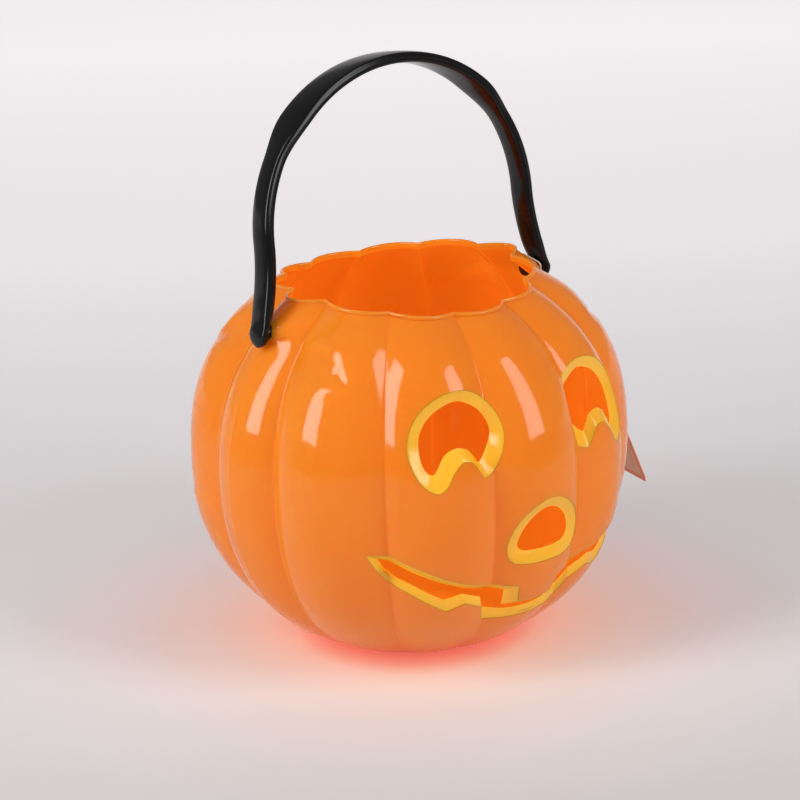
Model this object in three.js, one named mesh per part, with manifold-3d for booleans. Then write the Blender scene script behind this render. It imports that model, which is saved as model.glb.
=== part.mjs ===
// A pumpkin-faced pail: a thin moulded shell with twelve lobes, an open wavy rim and a cut-out face,
// yellow funnel liners in the eyes, nose and mouth, a black bail handle that swings on two pins, and
// a blank tag that hangs from the right-hand pin.
// Millimetres, +Z up. The origin is the centre of the base, the face looks along -Y and the handle's
// pins lie along X. A bearing is an angle round the Z axis from the face, positive towards +X.
import * as THREE from 'three';
import { mergeVertices } from 'three/addons/utils/BufferGeometryUtils.js';
import { TessellateModifier } from 'three/addons/modifiers/TessellateModifier.js';
import Module from 'manifold-3d';

const wasm = await Module();
wasm.setup();

// Body: a lobe's crest line is a superellipse below and another above the belly
const BELLY_RADIUS = 100.6;
const BELLY_HEIGHT = 88;
const LOWER_REACH = 95.2;
const LOWER_FULLNESS = 2.12;
const UPPER_REACH = 90.5;
const UPPER_FULLNESS = 2.27;
const WALL = 1.6;

// Lobes: bearings of the valleys on one half, mirrored on the other, and how deep the valleys are
const VALLEY_BEARINGS = [15, 44.5, 77, 103, 135.5, 165];
const VALLEY_AT_BASE = 0.9;
const VALLEY_AT_BELLY = 6.9;
const VALLEY_AT_RIM = 5.2;

// Rim: its crest radius, its middle height and how far it waves up at the sides
const RIM_RADIUS = 60;
const RIM_HEIGHT = 167.6;
const RIM_TILT = 1.0;
const RIM_SADDLE = 2.5;
const SHOULDER_HEIGHT = 150;

// Base: a flat pad and a flat standing ring with a shallow groove between them
const PAD_RADIUS = 12;
const GROOVE_OUTER_RADIUS = 31;
const GROOVE_DEPTH = 1.2;
const GROOVE_SLOPE = 1.8;

// Shallow panels in the two lobes behind the handle's, with a sloped step at each end
const PANEL_RECESS = 0.8;
const PANEL_LOWER_STEP = [72, 77];
const PANEL_UPPER_STEP = [141.7, 145.7];
const PANEL_LOBE_BEARINGS = [103, 135.5];

// Face: outlines are [across, up] from the named centre, and across is measured on this radius
const FACE_RADIUS = 100;
const SEAT_GAP = 0.35;
const LINER_LIP = 1.2;
const EYE_BEARING = 25;
const EYE_HEIGHT = 118;
const EYE_DEPTH = 4;
const NOSE_HEIGHT = 72;
const NOSE_DEPTH = 3;
const MOUTH_HEIGHT = 47;
const MOUTH_DEPTH = 2.5;

// Each row is a point of the outer edge, its partner on the rim of the hole, and whether it is sharp
const EYE_OUTLINE = [
  [[12.6, -16.5], [10.4, -9.4], false],
  [[17.8, -14.7], [12.8, -8.2], true],
  [[22.2, -5.6], [17.8, -1.6], false],
  [[23.5, 3.4], [18.8, 5.0], false],
  [[19.8, 12.9], [15.4, 11.3], false],
  [[12.0, 19.0], [9.0, 15.9], false],
  [[2.5, 21.2], [1.9, 18.1], false],
  [[-8.0, 19.4], [-6.6, 16.1], false],
  [[-16.6, 14.3], [-13.6, 11.4], false],
  [[-21.8, 6.6], [-17.5, 4.6], false],
  [[-23.0, -2.6], [-17.6, -3.4], false],
  [[-19.9, -11.6], [-15.9, -9.2], false],
  [[-15.4, -17.3], [-13.6, -11.7], false],
  [[-9.8, -19.9], [-11.4, -11.9], false],
  [[-6.0, -17.3], [-9.6, -9.4], false],
  [[-2.6, -11.4], [-6.4, -4.0], false],
  [[1.9, -7.5], [-1.0, -1.4], false],
  [[6.6, -8.6], [5.2, -2.9], false],
  [[9.9, -13.2], [8.6, -6.8], false],
];
// One half from the middle of the top, clockwise; the other half mirrors it
const NOSE_HALF = [
  [[0, 15.8], [0, 10.7], false],
  [[7.6, 13.7], [5.4, 9.1], false],
  [[15.2, 7.6], [10.8, 4.5], false],
  [[19.8, -0.6], [14.2, -1.6], false],
  [[20.6, -7.4], [14.9, -6.0], false],
  [[17.9, -12.5], [12.3, -8.5], false],
  [[10.6, -14.3], [6.4, -9.2], false],
  [[0, -14.5], [0, -9.4], false],
];
// One half from the middle of the upper tooth out to the corner of the mouth and back below
const MOUTH_HALF = [
  [[0, -10.6], [0, -14.0], false],
  [[10.3, -9.6], [17.1, -12.8], true],
  [[12.2, -1.0], [18.3, -3.5], true],
  [[25.5, 1.5], [26.2, -1.7], false],
  [[37.9, 4.6], [37.7, 0.9], false],
  [[51.0, 9.9], [50.3, 5.6], false],
  [[64.0, 15.9], [62.6, 10.9], false],
  [[75.7, 20.1], [73.6, 15.6], false],
  [[86.9, 22.1], [82.6, 19.0], true],
  [[82.9, 14.2], [80.0, 13.8], false],
  [[77.6, 7.6], [76.6, 10.2], false],
  [[67.4, 2.1], [67.2, 5.9], false],
  [[57.6, -3.9], [57.6, 0.2], false],
  [[50.1, -8.2], [51.7, -3.2], true],
  [[40.8, -5.0], [42.1, -1.1], true],
  [[30.2, -10.0], [31.0, -5.7], true],
  [[27.4, -18.4], [27.2, -13.4], true],
  [[14.0, -19.0], [15.6, -15.6], false],
  [[0, -19.2], [0, -16.2], false],
];

// Handle: a strap whose arch is half an ellipse, on arms that splay outward to round feet. The grip at its
// top is wider and turned about the vertical; its depth is measured from the top down to where it begins,
// and its spread from there up to where it is full
const PIVOT_HEIGHT = 157;
const HANDLE_LEAN = 5.5;
const STRAP_WIDTH = 11.6;
const GRIP_WIDTH = 15.5;
const GRIP_DEPTH = 36;
const GRIP_SPREAD = 18;
const GRIP_TWIST = 14;
const STRAP_THICKNESS = 5.6;
const STRAP_CROWN = 0.45;
const STRAP_EDGE = 1.3;
const ARCH_HALF_WIDTH = 73.2;
const ARCH_RISE = 71;
const ARM_HEIGHT = 38;
const ARM_SPLAY = 27;
const ARM_SPLAY_LENGTH = 12;
const ARM_STRAIGHT_LENGTH = 10;
const FOOT_RADIUS = 5.8;
const FOOT_THICKNESS = 3.6;
const FOOT_CLEARANCE = 1.55;
const FOOT_ROUNDING = 1;
const PIN_RADIUS = 3.1;
const PIN_CLEARANCE = 0.3;
const HEAD_RADIUS = 3.75;
const HEAD_LENGTH = 1.6;
const HEAD_TIP_RADIUS = 3.3;
const HEAD_EDGE = 0.4;
const HEAD_CLEARANCE = 0.35;

// Tag: a tongue on the right-hand pin follows the lobe down, and the card leaves it straight at its lean
const TAG_BEARING = 79;
const TAG_LEAN = 22;
const TAG_FREE_LENGTH = 92;
const TAG_WIDTH = 33.6;
const TAG_THICKNESS = 0.4;
const TAG_GAP = 0.3;
const TONGUE_WIDTH = 9.4;
const TONGUE_END_WIDTH = 6.4;
const TONGUE_TOP = 163.4;
const TONGUE_ROUNDING = 1.2;
const SHOULDER_TOP = 148;
const SHOULDER_BOTTOM = 140;
const TAG_CORNER = 1.5;

// How far a cut-out's solid reaches outside and inside the outer surface
const CUT_OUTSIDE = 5;
const CUT_INSIDE = 6;
const MITRE_LIMIT = 0.35;

// How finely the curves are divided
const LOBE_STEPS = 6;
const ROW_PITCH = 12.5;
const ROW_SAMPLES = 60;
const SHOULDER_ROWS = 4;
const SHOULDER_CROWDING = 1.4;
const OUTLINE_STEPS = 3;
const CUT_EDGE = 11;
const CUT_PASSES = 12;
const ARM_STEPS = 8;
const ARCH_STEPS = 18;
const TURNED_STEPS = 28;
const TONGUE_STEP = 4;
const TAG_SPREAD = 25;
const SLOPE_STEP = 0.05;
const SOLVING_STEPS = 40;
const MERGE_DISTANCE = 1e-3;

const radians = THREE.MathUtils.degToRad;

function material(name, color, roughness) {
  const made = new THREE.MeshStandardMaterial({ color, roughness, metalness: 0 });
  made.name = name;
  return made;
}
const orangePlastic = material('orange_plastic', 0xf08022, 0.28);
const yellowPlastic = material('yellow_plastic', 0xf7b732, 0.25);
const blackPlastic = material('black_plastic', 0x1b1b1d, 0.4);
const pinkCard = material('pink_card', 0xdd8874, 0.8);

// Closed geometry to solid and back

function toSolid(geometry) {
  const bare = geometry.clone();
  bare.deleteAttribute('normal');
  bare.deleteAttribute('uv');
  const merged = mergeVertices(bare, MERGE_DISTANCE);
  const solid = new wasm.Manifold(new wasm.Mesh({
    numProp: 3,
    vertProperties: new Float32Array(merged.attributes.position.array),
    triVerts: new Uint32Array(merged.index.array),
  }));
  return solid;
}

function toGeometry(solid) {
  const mesh = solid.getMesh();
  const geometry = new THREE.BufferGeometry();
  geometry.setAttribute('position', new THREE.BufferAttribute(mesh.vertProperties, 3));
  geometry.setIndex(new THREE.BufferAttribute(mesh.triVerts, 1));
  geometry.computeVertexNormals();
  return geometry;
}

function enclosedVolume(points, faces) {
  let sum = 0;
  for (const [a, b, c] of faces) {
    sum += points[a].dot(new THREE.Vector3().crossVectors(points[b], points[c]));
  }
  return sum / 6;
}

// Faces are turned to point out of the solid, whichever way its rings were listed
function geometryFromFaces(points, faces) {
  const outward = enclosedVolume(points, faces) > 0;
  const geometry = new THREE.BufferGeometry();
  geometry.setAttribute('position', new THREE.Float32BufferAttribute(points.flatMap((p) => p.toArray()), 3));
  geometry.setIndex(faces.flatMap(([a, b, c]) => (outward ? [a, b, c] : [a, c, b])));
  return geometry;
}

// Rings of equal length are joined in order; the ends meet each other, or close on their own centres
function loftRings(rings, endsMeet) {
  const points = rings.flat();
  const size = rings[0].length;
  const faces = [];
  const spans = endsMeet ? rings.length : rings.length - 1;
  for (let i = 0; i < spans; i++) {
    const low = i * size;
    const high = ((i + 1) % rings.length) * size;
    for (let j = 0; j < size; j++) {
      const k = (j + 1) % size;
      faces.push([low + j, low + k, high + k], [low + j, high + k, high + j]);
    }
  }
  if (!endsMeet) {
    const last = (rings.length - 1) * size;
    const centres = [rings[0], rings[rings.length - 1]].map(centreOf);
    const first = points.push(centres[0], centres[1]) - 2;
    for (let j = 0; j < size; j++) {
      const k = (j + 1) % size;
      faces.push([first, k, j], [first + 1, last + j, last + k]);
    }
  }
  return geometryFromFaces(points, faces);
}

function centreOf(ring) {
  const sum = new THREE.Vector3();
  ring.forEach((p) => sum.add(p));
  return sum.divideScalar(ring.length);
}

// The body's outer surface

const VALLEYS = [
  ...VALLEY_BEARINGS.slice().reverse().map((bearing) => -bearing),
  ...VALLEY_BEARINGS,
];

// The lobe that holds a bearing: its first valley, its width, and the place in it from -1 to 1
function lobeAt(bearing) {
  const start = VALLEYS[0];
  const turned = THREE.MathUtils.euclideanModulo(bearing - start, 360) + start;
  let index = VALLEYS.length - 1;
  while (index > 0 && VALLEYS[index] > turned) index--;
  const from = VALLEYS[index];
  const to = index + 1 < VALLEYS.length ? VALLEYS[index + 1] : VALLEYS[0] + 360;
  return { from, to, place: (2 * (turned - from)) / (to - from) - 1 };
}

function crestRadius(height) {
  const below = height < BELLY_HEIGHT;
  const reach = below ? LOWER_REACH : UPPER_REACH;
  const fullness = below ? LOWER_FULLNESS : UPPER_FULLNESS;
  const share = Math.min(Math.abs(height - BELLY_HEIGHT) / reach, 1);
  return BELLY_RADIUS * (1 - share ** fullness) ** (1 / fullness);
}

// Height at which the upper superellipse has shrunk to the rim's radius
const NECK_HEIGHT =
  BELLY_HEIGHT + UPPER_REACH * (1 - (RIM_RADIUS / BELLY_RADIUS) ** UPPER_FULLNESS) ** (1 / UPPER_FULLNESS);

function rimHeight(bearing) {
  return RIM_HEIGHT - RIM_TILT * Math.cos(radians(bearing)) - RIM_SADDLE * Math.cos(radians(2 * bearing));
}

// Above the shoulder the profile is stretched or squeezed so that it ends at the wavy rim
function profileHeight(bearing, height) {
  if (height < SHOULDER_HEIGHT) return height;
  const stretch = (NECK_HEIGHT - SHOULDER_HEIGHT) / (rimHeight(bearing) - SHOULDER_HEIGHT);
  return SHOULDER_HEIGHT + (height - SHOULDER_HEIGHT) * stretch;
}

function valleyDepth(height) {
  if (height < BELLY_HEIGHT) {
    const rise = Math.sin((Math.PI / 2) * (height / BELLY_HEIGHT));
    return VALLEY_AT_BASE + (VALLEY_AT_BELLY - VALLEY_AT_BASE) * rise;
  }
  const share = (height - BELLY_HEIGHT) / (NECK_HEIGHT - BELLY_HEIGHT);
  return VALLEY_AT_BELLY + (VALLEY_AT_RIM - VALLEY_AT_BELLY) * share;
}

function panelRecess(bearing, height) {
  const [first, last] = PANEL_LOBE_BEARINGS;
  const inLobe = Math.abs(bearing) > first && Math.abs(bearing) < last;
  if (!inLobe) return 0;
  const [lowStart, lowEnd] = PANEL_LOWER_STEP;
  const [highStart, highEnd] = PANEL_UPPER_STEP;
  const rise = THREE.MathUtils.clamp((height - lowStart) / (lowEnd - lowStart), 0, 1);
  const fall = THREE.MathUtils.clamp((highEnd - height) / (highEnd - highStart), 0, 1);
  return PANEL_RECESS * Math.min(rise, fall);
}

function outerRadius(bearing, height) {
  const profile = profileHeight(bearing, height);
  const { place } = lobeAt(bearing);
  return crestRadius(profile) - valleyDepth(profile) * place * place - panelRecess(bearing, height);
}

function atBearing(bearing, radius, height) {
  const angle = radians(bearing);
  return new THREE.Vector3(radius * Math.sin(angle), -radius * Math.cos(angle), height);
}

// A point that lies the given depth inside the outer surface, square to its profile
function beneath(bearing, height, depth) {
  const above = Math.max(height, SLOPE_STEP);
  const rise = outerRadius(bearing, above + SLOPE_STEP) - outerRadius(bearing, above - SLOPE_STEP);
  const slope = rise / (2 * SLOPE_STEP);
  const length = Math.hypot(1, slope);
  const radius = outerRadius(bearing, height) - depth / length;
  return atBearing(bearing, radius, height + (depth * slope) / length);
}

// Radius at which the wall's inner face passes a height on a lobe's crest
function innerCrestRadius(bearing, height) {
  let outside = height;
  for (let i = 0; i < SOLVING_STEPS; i++) {
    outside += height - beneath(bearing, outside, WALL).z;
  }
  const point = beneath(bearing, outside, WALL);
  return Math.hypot(point.x, point.y);
}

// Shell

function columnBearings() {
  return VALLEYS.flatMap((from, index) => {
    const to = index + 1 < VALLEYS.length ? VALLEYS[index + 1] : VALLEYS[0] + 360;
    return Array.from({ length: LOBE_STEPS }, (_, i) => from + ((to - from) * i) / LOBE_STEPS);
  });
}

// Row heights that follow the crest at an even pitch and hit the panel's steps exactly
function rowHeights() {
  const stops = [0, ...PANEL_LOWER_STEP, ...PANEL_UPPER_STEP, SHOULDER_HEIGHT];
  const rows = [0];
  for (let i = 1; i < stops.length; i++) {
    const [from, to] = [stops[i - 1], stops[i]];
    const lengths = [0];
    for (let k = 1; k <= ROW_SAMPLES; k++) {
      const high = from + ((to - from) * k) / ROW_SAMPLES;
      const low = from + ((to - from) * (k - 1)) / ROW_SAMPLES;
      lengths.push(lengths[k - 1] + Math.hypot(high - low, crestRadius(high) - crestRadius(low)));
    }
    const total = lengths[ROW_SAMPLES];
    const count = Math.max(1, Math.round(total / ROW_PITCH));
    for (let k = 1; k <= count; k++) {
      const index = lengths.findIndex((length) => length >= (total * k) / count - 1e-9);
      rows.push(from + ((to - from) * index) / ROW_SAMPLES);
    }
  }
  return rows;
}

function shellSolid() {
  const bearings = columnBearings();
  const ringAt = (place) => bearings.map((bearing) => place(bearing));
  const flatRing = (radius, height) => ringAt((bearing) => atBearing(bearing, radius, height));
  const groove = [
    [PAD_RADIUS, 0],
    [PAD_RADIUS + GROOVE_SLOPE, GROOVE_DEPTH],
    [GROOVE_OUTER_RADIUS - GROOVE_SLOPE, GROOVE_DEPTH],
    [GROOVE_OUTER_RADIUS, 0],
  ];
  const heights = rowHeights();
  const shoulder = Array.from({ length: SHOULDER_ROWS }, (_, i) =>
    1 - (1 - (i + 1) / SHOULDER_ROWS) ** SHOULDER_CROWDING);
  const shoulderHeight = (bearing, share) =>
    SHOULDER_HEIGHT + (rimHeight(bearing) - SHOULDER_HEIGHT) * share;

  const outside = [
    ...groove.map(([radius, height]) => flatRing(radius, height)),
    ...heights.map((height) => ringAt((b) => beneath(b, height, 0))),
    ...shoulder.map((share) => ringAt((b) => beneath(b, shoulderHeight(b, share), 0))),
  ];
  const inside = [
    ...groove.map(([radius, height]) => flatRing(radius, height + WALL)),
    flatRing(outerRadius(0, 0) - WALL, WALL),
    ...heights.slice(1).map((height) => ringAt((b) => beneath(b, height, WALL))),
    ...shoulder.map((share) => ringAt((b) => beneath(b, shoulderHeight(b, share), WALL))),
  ];
  return toSolid(loftRings([...outside, ...inside.reverse()], false));
}

// Face outlines

function mirrored(outline) {
  const flip = ([across, up]) => [-across, up];
  return outline.map(([edge, hole, sharp]) => [flip(edge), flip(hole), sharp]).reverse();
}

function wholeFromHalf(half) {
  const otherHalf = mirrored(half).slice(1, -1);
  return [...half, ...otherHalf];
}

// A closed curve through the points, smooth except at the sharp ones, sampled in even steps a span
function closedCurve(points, sharp) {
  const count = points.length;
  const corners = points.map((_, i) => i).filter((i) => sharp[i]);
  const samples = [];
  if (corners.length === 0) {
    const curve = new THREE.CatmullRomCurve3(points, true, 'centripetal');
    for (let k = 0; k < count * OUTLINE_STEPS; k++) samples.push(curve.getPoint(k / (count * OUTLINE_STEPS)));
    return samples;
  }
  corners.forEach((corner, i) => {
    const next = corners[(i + 1) % corners.length];
    const spans = THREE.MathUtils.euclideanModulo(next - corner - 1, count) + 1;
    const stretch = Array.from({ length: spans + 1 }, (_, k) => points[(corner + k) % count]);
    const curve = new THREE.CatmullRomCurve3(stretch, false, 'centripetal');
    for (let k = 0; k < spans * OUTLINE_STEPS; k++) samples.push(curve.getPoint(k / (spans * OUTLINE_STEPS)));
  });
  return samples;
}

// The face's openings: paired samples of edge and hole, [across, up] on the face
function opening(outline, acrossCentre, upCentre, depth) {
  const sharp = outline.map((row) => row[2]);
  const place = ([across, up]) => new THREE.Vector3(across + acrossCentre, up + upCentre, 0);
  const edge = closedCurve(outline.map((row) => place(row[0])), sharp);
  const hole = closedCurve(outline.map((row) => place(row[1])), sharp);
  return { edge, hole, depth };
}

const EYE_ACROSS = radians(EYE_BEARING) * FACE_RADIUS;
const FACE = {
  eyeLeft: opening(EYE_OUTLINE, -EYE_ACROSS, EYE_HEIGHT, EYE_DEPTH),
  eyeRight: opening(mirrored(EYE_OUTLINE), EYE_ACROSS, EYE_HEIGHT, EYE_DEPTH),
  nose: opening(wholeFromHalf(NOSE_HALF), 0, NOSE_HEIGHT, NOSE_DEPTH),
  mouth: opening(wholeFromHalf(MOUTH_HALF), 0, MOUTH_HEIGHT, MOUTH_DEPTH),
};

function onFace(point, depth) {
  return beneath(THREE.MathUtils.radToDeg(point.x / FACE_RADIUS), point.y, depth);
}

// A closed outline moved outward by a distance, with its corners mitred
function grown(points, distance) {
  const turn = THREE.ShapeUtils.area(points) > 0 ? 1 : -1;
  const count = points.length;
  return points.map((point, i) => {
    const before = new THREE.Vector3().subVectors(point, points[(i + count - 1) % count]).normalize();
    const after = new THREE.Vector3().subVectors(points[(i + 1) % count], point).normalize();
    const normal = new THREE.Vector3(before.y + after.y, -before.x - after.x, 0);
    normal.normalize().multiplyScalar(turn);
    const straight = new THREE.Vector3(before.y, -before.x, 0).multiplyScalar(turn);
    const mitre = distance / Math.max(normal.dot(straight), MITRE_LIMIT);
    return point.clone().addScaledVector(normal, mitre);
  });
}

// The solid that an opening takes out of the wall: its outline, grown by the seat gap, right through
function cutSolid({ edge }) {
  const outline = grown(edge, SEAT_GAP);
  const flat = THREE.ShapeUtils.triangulateShape(outline.map((p) => new THREE.Vector2(p.x, p.y)), []);
  const sheet = new THREE.BufferGeometry();
  const corners = flat.flat().map((index) => outline[index]);
  sheet.setAttribute('position', new THREE.Float32BufferAttribute(corners.flatMap((p) => p.toArray()), 3));
  const fine = mergeVertices(new TessellateModifier(CUT_EDGE, CUT_PASSES).modify(sheet), MERGE_DISTANCE);
  const spots = Array.from({ length: fine.attributes.position.count }, (_, i) =>
    new THREE.Vector3().fromBufferAttribute(fine.attributes.position, i));
  const size = spots.length;
  const points = [
    ...spots.map((spot) => onFace(spot, -CUT_OUTSIDE)),
    ...spots.map((spot) => onFace(spot, CUT_INSIDE)),
  ];
  const faces = [];
  const sides = new Map();
  const index = fine.index.array;
  for (let i = 0; i < index.length; i += 3) {
    const [a, b, c] = [index[i], index[i + 1], index[i + 2]];
    faces.push([a, b, c], [size + a, size + c, size + b]);
    for (const [from, to] of [[a, b], [b, c], [c, a]]) {
      if (!sides.delete(`${to} ${from}`)) sides.set(`${from} ${to}`, [from, to]);
    }
  }
  for (const [from, to] of sides.values()) {
    faces.push([to, from, size + from], [to, size + from, size + to]);
  }
  return toSolid(geometryFromFaces(points, faces));
}

// A funnel from the flush outer edge in to the rim of the hole, with a small lip behind the hole
function linerGeometry({ edge, hole, depth }) {
  const behind = hole.map((point, i) => {
    const outward = new THREE.Vector3().subVectors(edge[i], point);
    return point.clone().addScaledVector(outward.normalize(), LINER_LIP);
  });
  const rings = [
    edge.map((point) => onFace(point, 0)),
    edge.map((point) => onFace(point, WALL)),
    behind.map((point) => onFace(point, depth)),
    hole.map((point) => onFace(point, depth)),
  ];
  return loftRings(rings, true);
}

// Handle

const SIDE_BEARING = 90;
const FOOT_INNER = outerRadius(SIDE_BEARING, PIVOT_HEIGHT - FOOT_RADIUS) + FOOT_CLEARANCE;
const FOOT_OUTER = FOOT_INNER + FOOT_THICKNESS;
const HEAD_BASE = innerCrestRadius(SIDE_BEARING, PIVOT_HEIGHT + HEAD_RADIUS) - HEAD_CLEARANCE;

// Half of the strap's middle line, from the pivot up to the top of the arch, in the plane of the arch
function halfArch() {
  const foot = new THREE.Vector2((FOOT_INNER + FOOT_OUTER) / 2, 0);
  const splay = radians(ARM_SPLAY);
  const spring = new THREE.Vector2(ARCH_HALF_WIDTH, ARM_HEIGHT);
  const arm = new THREE.CubicBezierCurve(
    foot,
    new THREE.Vector2(foot.x - ARM_SPLAY_LENGTH * Math.sin(splay), ARM_SPLAY_LENGTH * Math.cos(splay)),
    new THREE.Vector2(spring.x, spring.y - ARM_STRAIGHT_LENGTH),
    spring,
  );
  const arch = new THREE.EllipseCurve(0, ARM_HEIGHT, ARCH_HALF_WIDTH, ARCH_RISE, 0, Math.PI / 2);
  return [...arm.getPoints(ARM_STEPS), ...arch.getPoints(ARCH_STEPS).slice(1)];
}

// Strap section: [across the width, outward], crowned on both faces, with upright edges
function strapSection(thickness, width) {
  const half = width / 2;
  const thick = thickness / 2;
  const shoulder = half - STRAP_EDGE;
  const face = thick - STRAP_CROWN;
  return [
    [0, thick], [shoulder, face], [half, face - STRAP_EDGE], [half, STRAP_EDGE - face],
    [shoulder, -face], [0, -thick], [-shoulder, -face], [-half, STRAP_EDGE - face],
    [-half, face - STRAP_EDGE], [-shoulder, face],
  ];
}

function strapSolid() {
  const gripStart = ARM_HEIGHT + ARCH_RISE - GRIP_DEPTH;
  const right = halfArch();
  const left = right.slice(0, -1).reverse().map((p) => new THREE.Vector2(-p.x, p.y));
  const line = [...right, ...left];
  const rings = line.map((point, i) => {
    const full = THREE.MathUtils.smoothstep(point.y, 0, ARM_SPLAY_LENGTH);
    const grip = THREE.MathUtils.smoothstep(point.y, gripStart, gripStart + GRIP_SPREAD);
    const section = strapSection(
      FOOT_THICKNESS + (STRAP_THICKNESS - FOOT_THICKNESS) * full,
      STRAP_WIDTH + (GRIP_WIDTH - STRAP_WIDTH) * grip,
    );
    const twist = radians(GRIP_TWIST) * grip;
    const before = line[Math.max(i - 1, 0)];
    const after = line[Math.min(i + 1, line.length - 1)];
    const atFoot = i === 0 || i === line.length - 1;
    const along = atFoot
      ? new THREE.Vector2(0, i === 0 ? 1 : -1)
      : new THREE.Vector2().subVectors(after, before).normalize();
    const outward = new THREE.Vector2(along.y, -along.x);
    return section.map(([across, out]) => new THREE.Vector3(
      point.x + outward.x * out - across * Math.sin(twist),
      across * Math.cos(twist),
      point.y + outward.y * out,
    ));
  });
  return toSolid(loftRings(rings, false));
}

// Foot, pin and snap head turned about one axis: [radius, distance from the body's axis]
function pivotSolid(side) {
  const rounded = FOOT_RADIUS - FOOT_ROUNDING;
  const profile = [
    [0, FOOT_OUTER], [rounded, FOOT_OUTER - STRAP_CROWN], [FOOT_RADIUS, FOOT_OUTER - FOOT_ROUNDING],
    [FOOT_RADIUS, FOOT_INNER + STRAP_CROWN], [FOOT_RADIUS - STRAP_CROWN, FOOT_INNER],
    [PIN_RADIUS, FOOT_INNER], [PIN_RADIUS, HEAD_BASE], [HEAD_RADIUS, HEAD_BASE],
    [HEAD_RADIUS, HEAD_BASE - HEAD_EDGE], [HEAD_TIP_RADIUS, HEAD_BASE - HEAD_LENGTH],
    [0, HEAD_BASE - HEAD_LENGTH],
  ].map(([radius, distance]) => new THREE.Vector2(radius, distance));
  const turned = new THREE.LatheGeometry(profile.reverse(), TURNED_STEPS);
  turned.rotateZ((-side * Math.PI) / 2);
  return toSolid(turned);
}

function handleSolid() {
  return strapSolid().add(pivotSolid(1)).add(pivotSolid(-1));
}

function pinHoleSolid(side) {
  const reach = FOOT_OUTER - HEAD_BASE + HEAD_LENGTH;
  const radius = PIN_RADIUS + PIN_CLEARANCE;
  const bore = new THREE.CylinderGeometry(radius, radius, reach, TURNED_STEPS);
  bore.rotateZ(Math.PI / 2);
  bore.translate((side * (FOOT_OUTER + HEAD_BASE - HEAD_LENGTH)) / 2, 0, PIVOT_HEIGHT);
  return toSolid(bore);
}

// Tag

// How far the body reaches toward the tag's bearing at a height
function reachToTag(height) {
  const turns = Array.from({ length: 2 * TAG_SPREAD + 1 }, (_, i) => i - TAG_SPREAD);
  return Math.max(...turns.map((turn) =>
    outerRadius(TAG_BEARING + turn, height) * Math.cos(radians(turn))));
}

// The height where the body's slope equals the tag's lean, found by halving
function leaveHeight() {
  let [low, high] = [BELLY_HEIGHT, SHOULDER_BOTTOM];
  for (let i = 0; i < SOLVING_STEPS; i++) {
    const middle = (low + high) / 2;
    const slope = (reachToTag(middle - SLOPE_STEP) - reachToTag(middle + SLOPE_STEP)) / (2 * SLOPE_STEP);
    if (slope < Math.tan(radians(TAG_LEAN))) low = middle;
    else high = middle;
  }
  return low;
}

// The tag from its top down: each station's [reach, height] and half its width there
function tagStations() {
  const leave = leaveHeight();
  const tongue = TONGUE_WIDTH / 2;
  const full = TAG_WIDTH / 2;
  const onBody = (height) => new THREE.Vector2(reachToTag(height) + TAG_GAP, height);
  const heights = [TONGUE_TOP, TONGUE_TOP - TONGUE_ROUNDING];
  for (let height = TONGUE_TOP - TONGUE_STEP; height > SHOULDER_TOP + 1; height -= TONGUE_STEP) {
    heights.push(height);
  }
  heights.push(SHOULDER_TOP);
  for (let i = 1; i <= 2; i++) heights.push(SHOULDER_TOP + ((SHOULDER_BOTTOM - SHOULDER_TOP) * i) / 2);
  for (let i = 1; i <= 3; i++) heights.push(SHOULDER_BOTTOM + ((leave - SHOULDER_BOTTOM) * i) / 3);
  const widening = (height) =>
    THREE.MathUtils.clamp((SHOULDER_TOP - height) / (SHOULDER_TOP - SHOULDER_BOTTOM), 0, 1);
  const stations = heights.map((height, i) => ({
    point: onBody(height),
    half: i === 0 ? TONGUE_END_WIDTH / 2 : tongue + (full - tongue) * widening(height),
  }));
  const lean = radians(TAG_LEAN);
  const down = new THREE.Vector2(Math.sin(lean), -Math.cos(lean));
  const last = stations[stations.length - 1].point;
  for (const travelled of [TAG_FREE_LENGTH / 2, TAG_FREE_LENGTH - TAG_CORNER, TAG_FREE_LENGTH]) {
    const point = last.clone().addScaledVector(down, travelled);
    stations.push({ point, half: travelled === TAG_FREE_LENGTH ? full - TAG_CORNER : full });
  }
  return stations;
}

// Built facing +X with its middle line under the pin, then turned to its bearing
function tagSolid() {
  const stations = tagStations();
  const turn = radians(SIDE_BEARING - TAG_BEARING);
  const middle = outerRadius(SIDE_BEARING, PIVOT_HEIGHT) * Math.sin(turn);
  const rings = stations.map(({ point, half }, i) => {
    const before = stations[Math.max(i - 1, 0)].point;
    const after = stations[Math.min(i + 1, stations.length - 1)].point;
    const along = new THREE.Vector2().subVectors(after, before).normalize();
    const outward = new THREE.Vector2(-along.y, along.x).multiplyScalar(TAG_THICKNESS);
    return [[-half, 0], [half, 0], [half, 1], [-half, 1]].map(([across, out]) =>
      new THREE.Vector3(point.x + outward.x * out, middle + across, point.y + outward.y * out));
  });
  const card = loftRings(rings, false);
  card.rotateZ(-turn);
  return toSolid(card).subtract(pinHoleSolid(1));
}

// Assembly

const group = new THREE.Group();

function addPart(name, geometry, finish, parent = group) {
  const mesh = new THREE.Mesh(geometry, finish);
  mesh.name = name;
  parent.add(mesh);
  return mesh;
}

let shell = shellSolid();
for (const cutOut of Object.values(FACE)) shell = shell.subtract(cutSolid(cutOut));
shell = shell.subtract(pinHoleSolid(1)).subtract(pinHoleSolid(-1));

addPart('pail_shell', toGeometry(shell), orangePlastic);
addPart('eye_liner_left', linerGeometry(FACE.eyeLeft), yellowPlastic);
addPart('eye_liner_right', linerGeometry(FACE.eyeRight), yellowPlastic);
addPart('nose_liner', linerGeometry(FACE.nose), yellowPlastic);
addPart('mouth_liner', linerGeometry(FACE.mouth), yellowPlastic);

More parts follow.
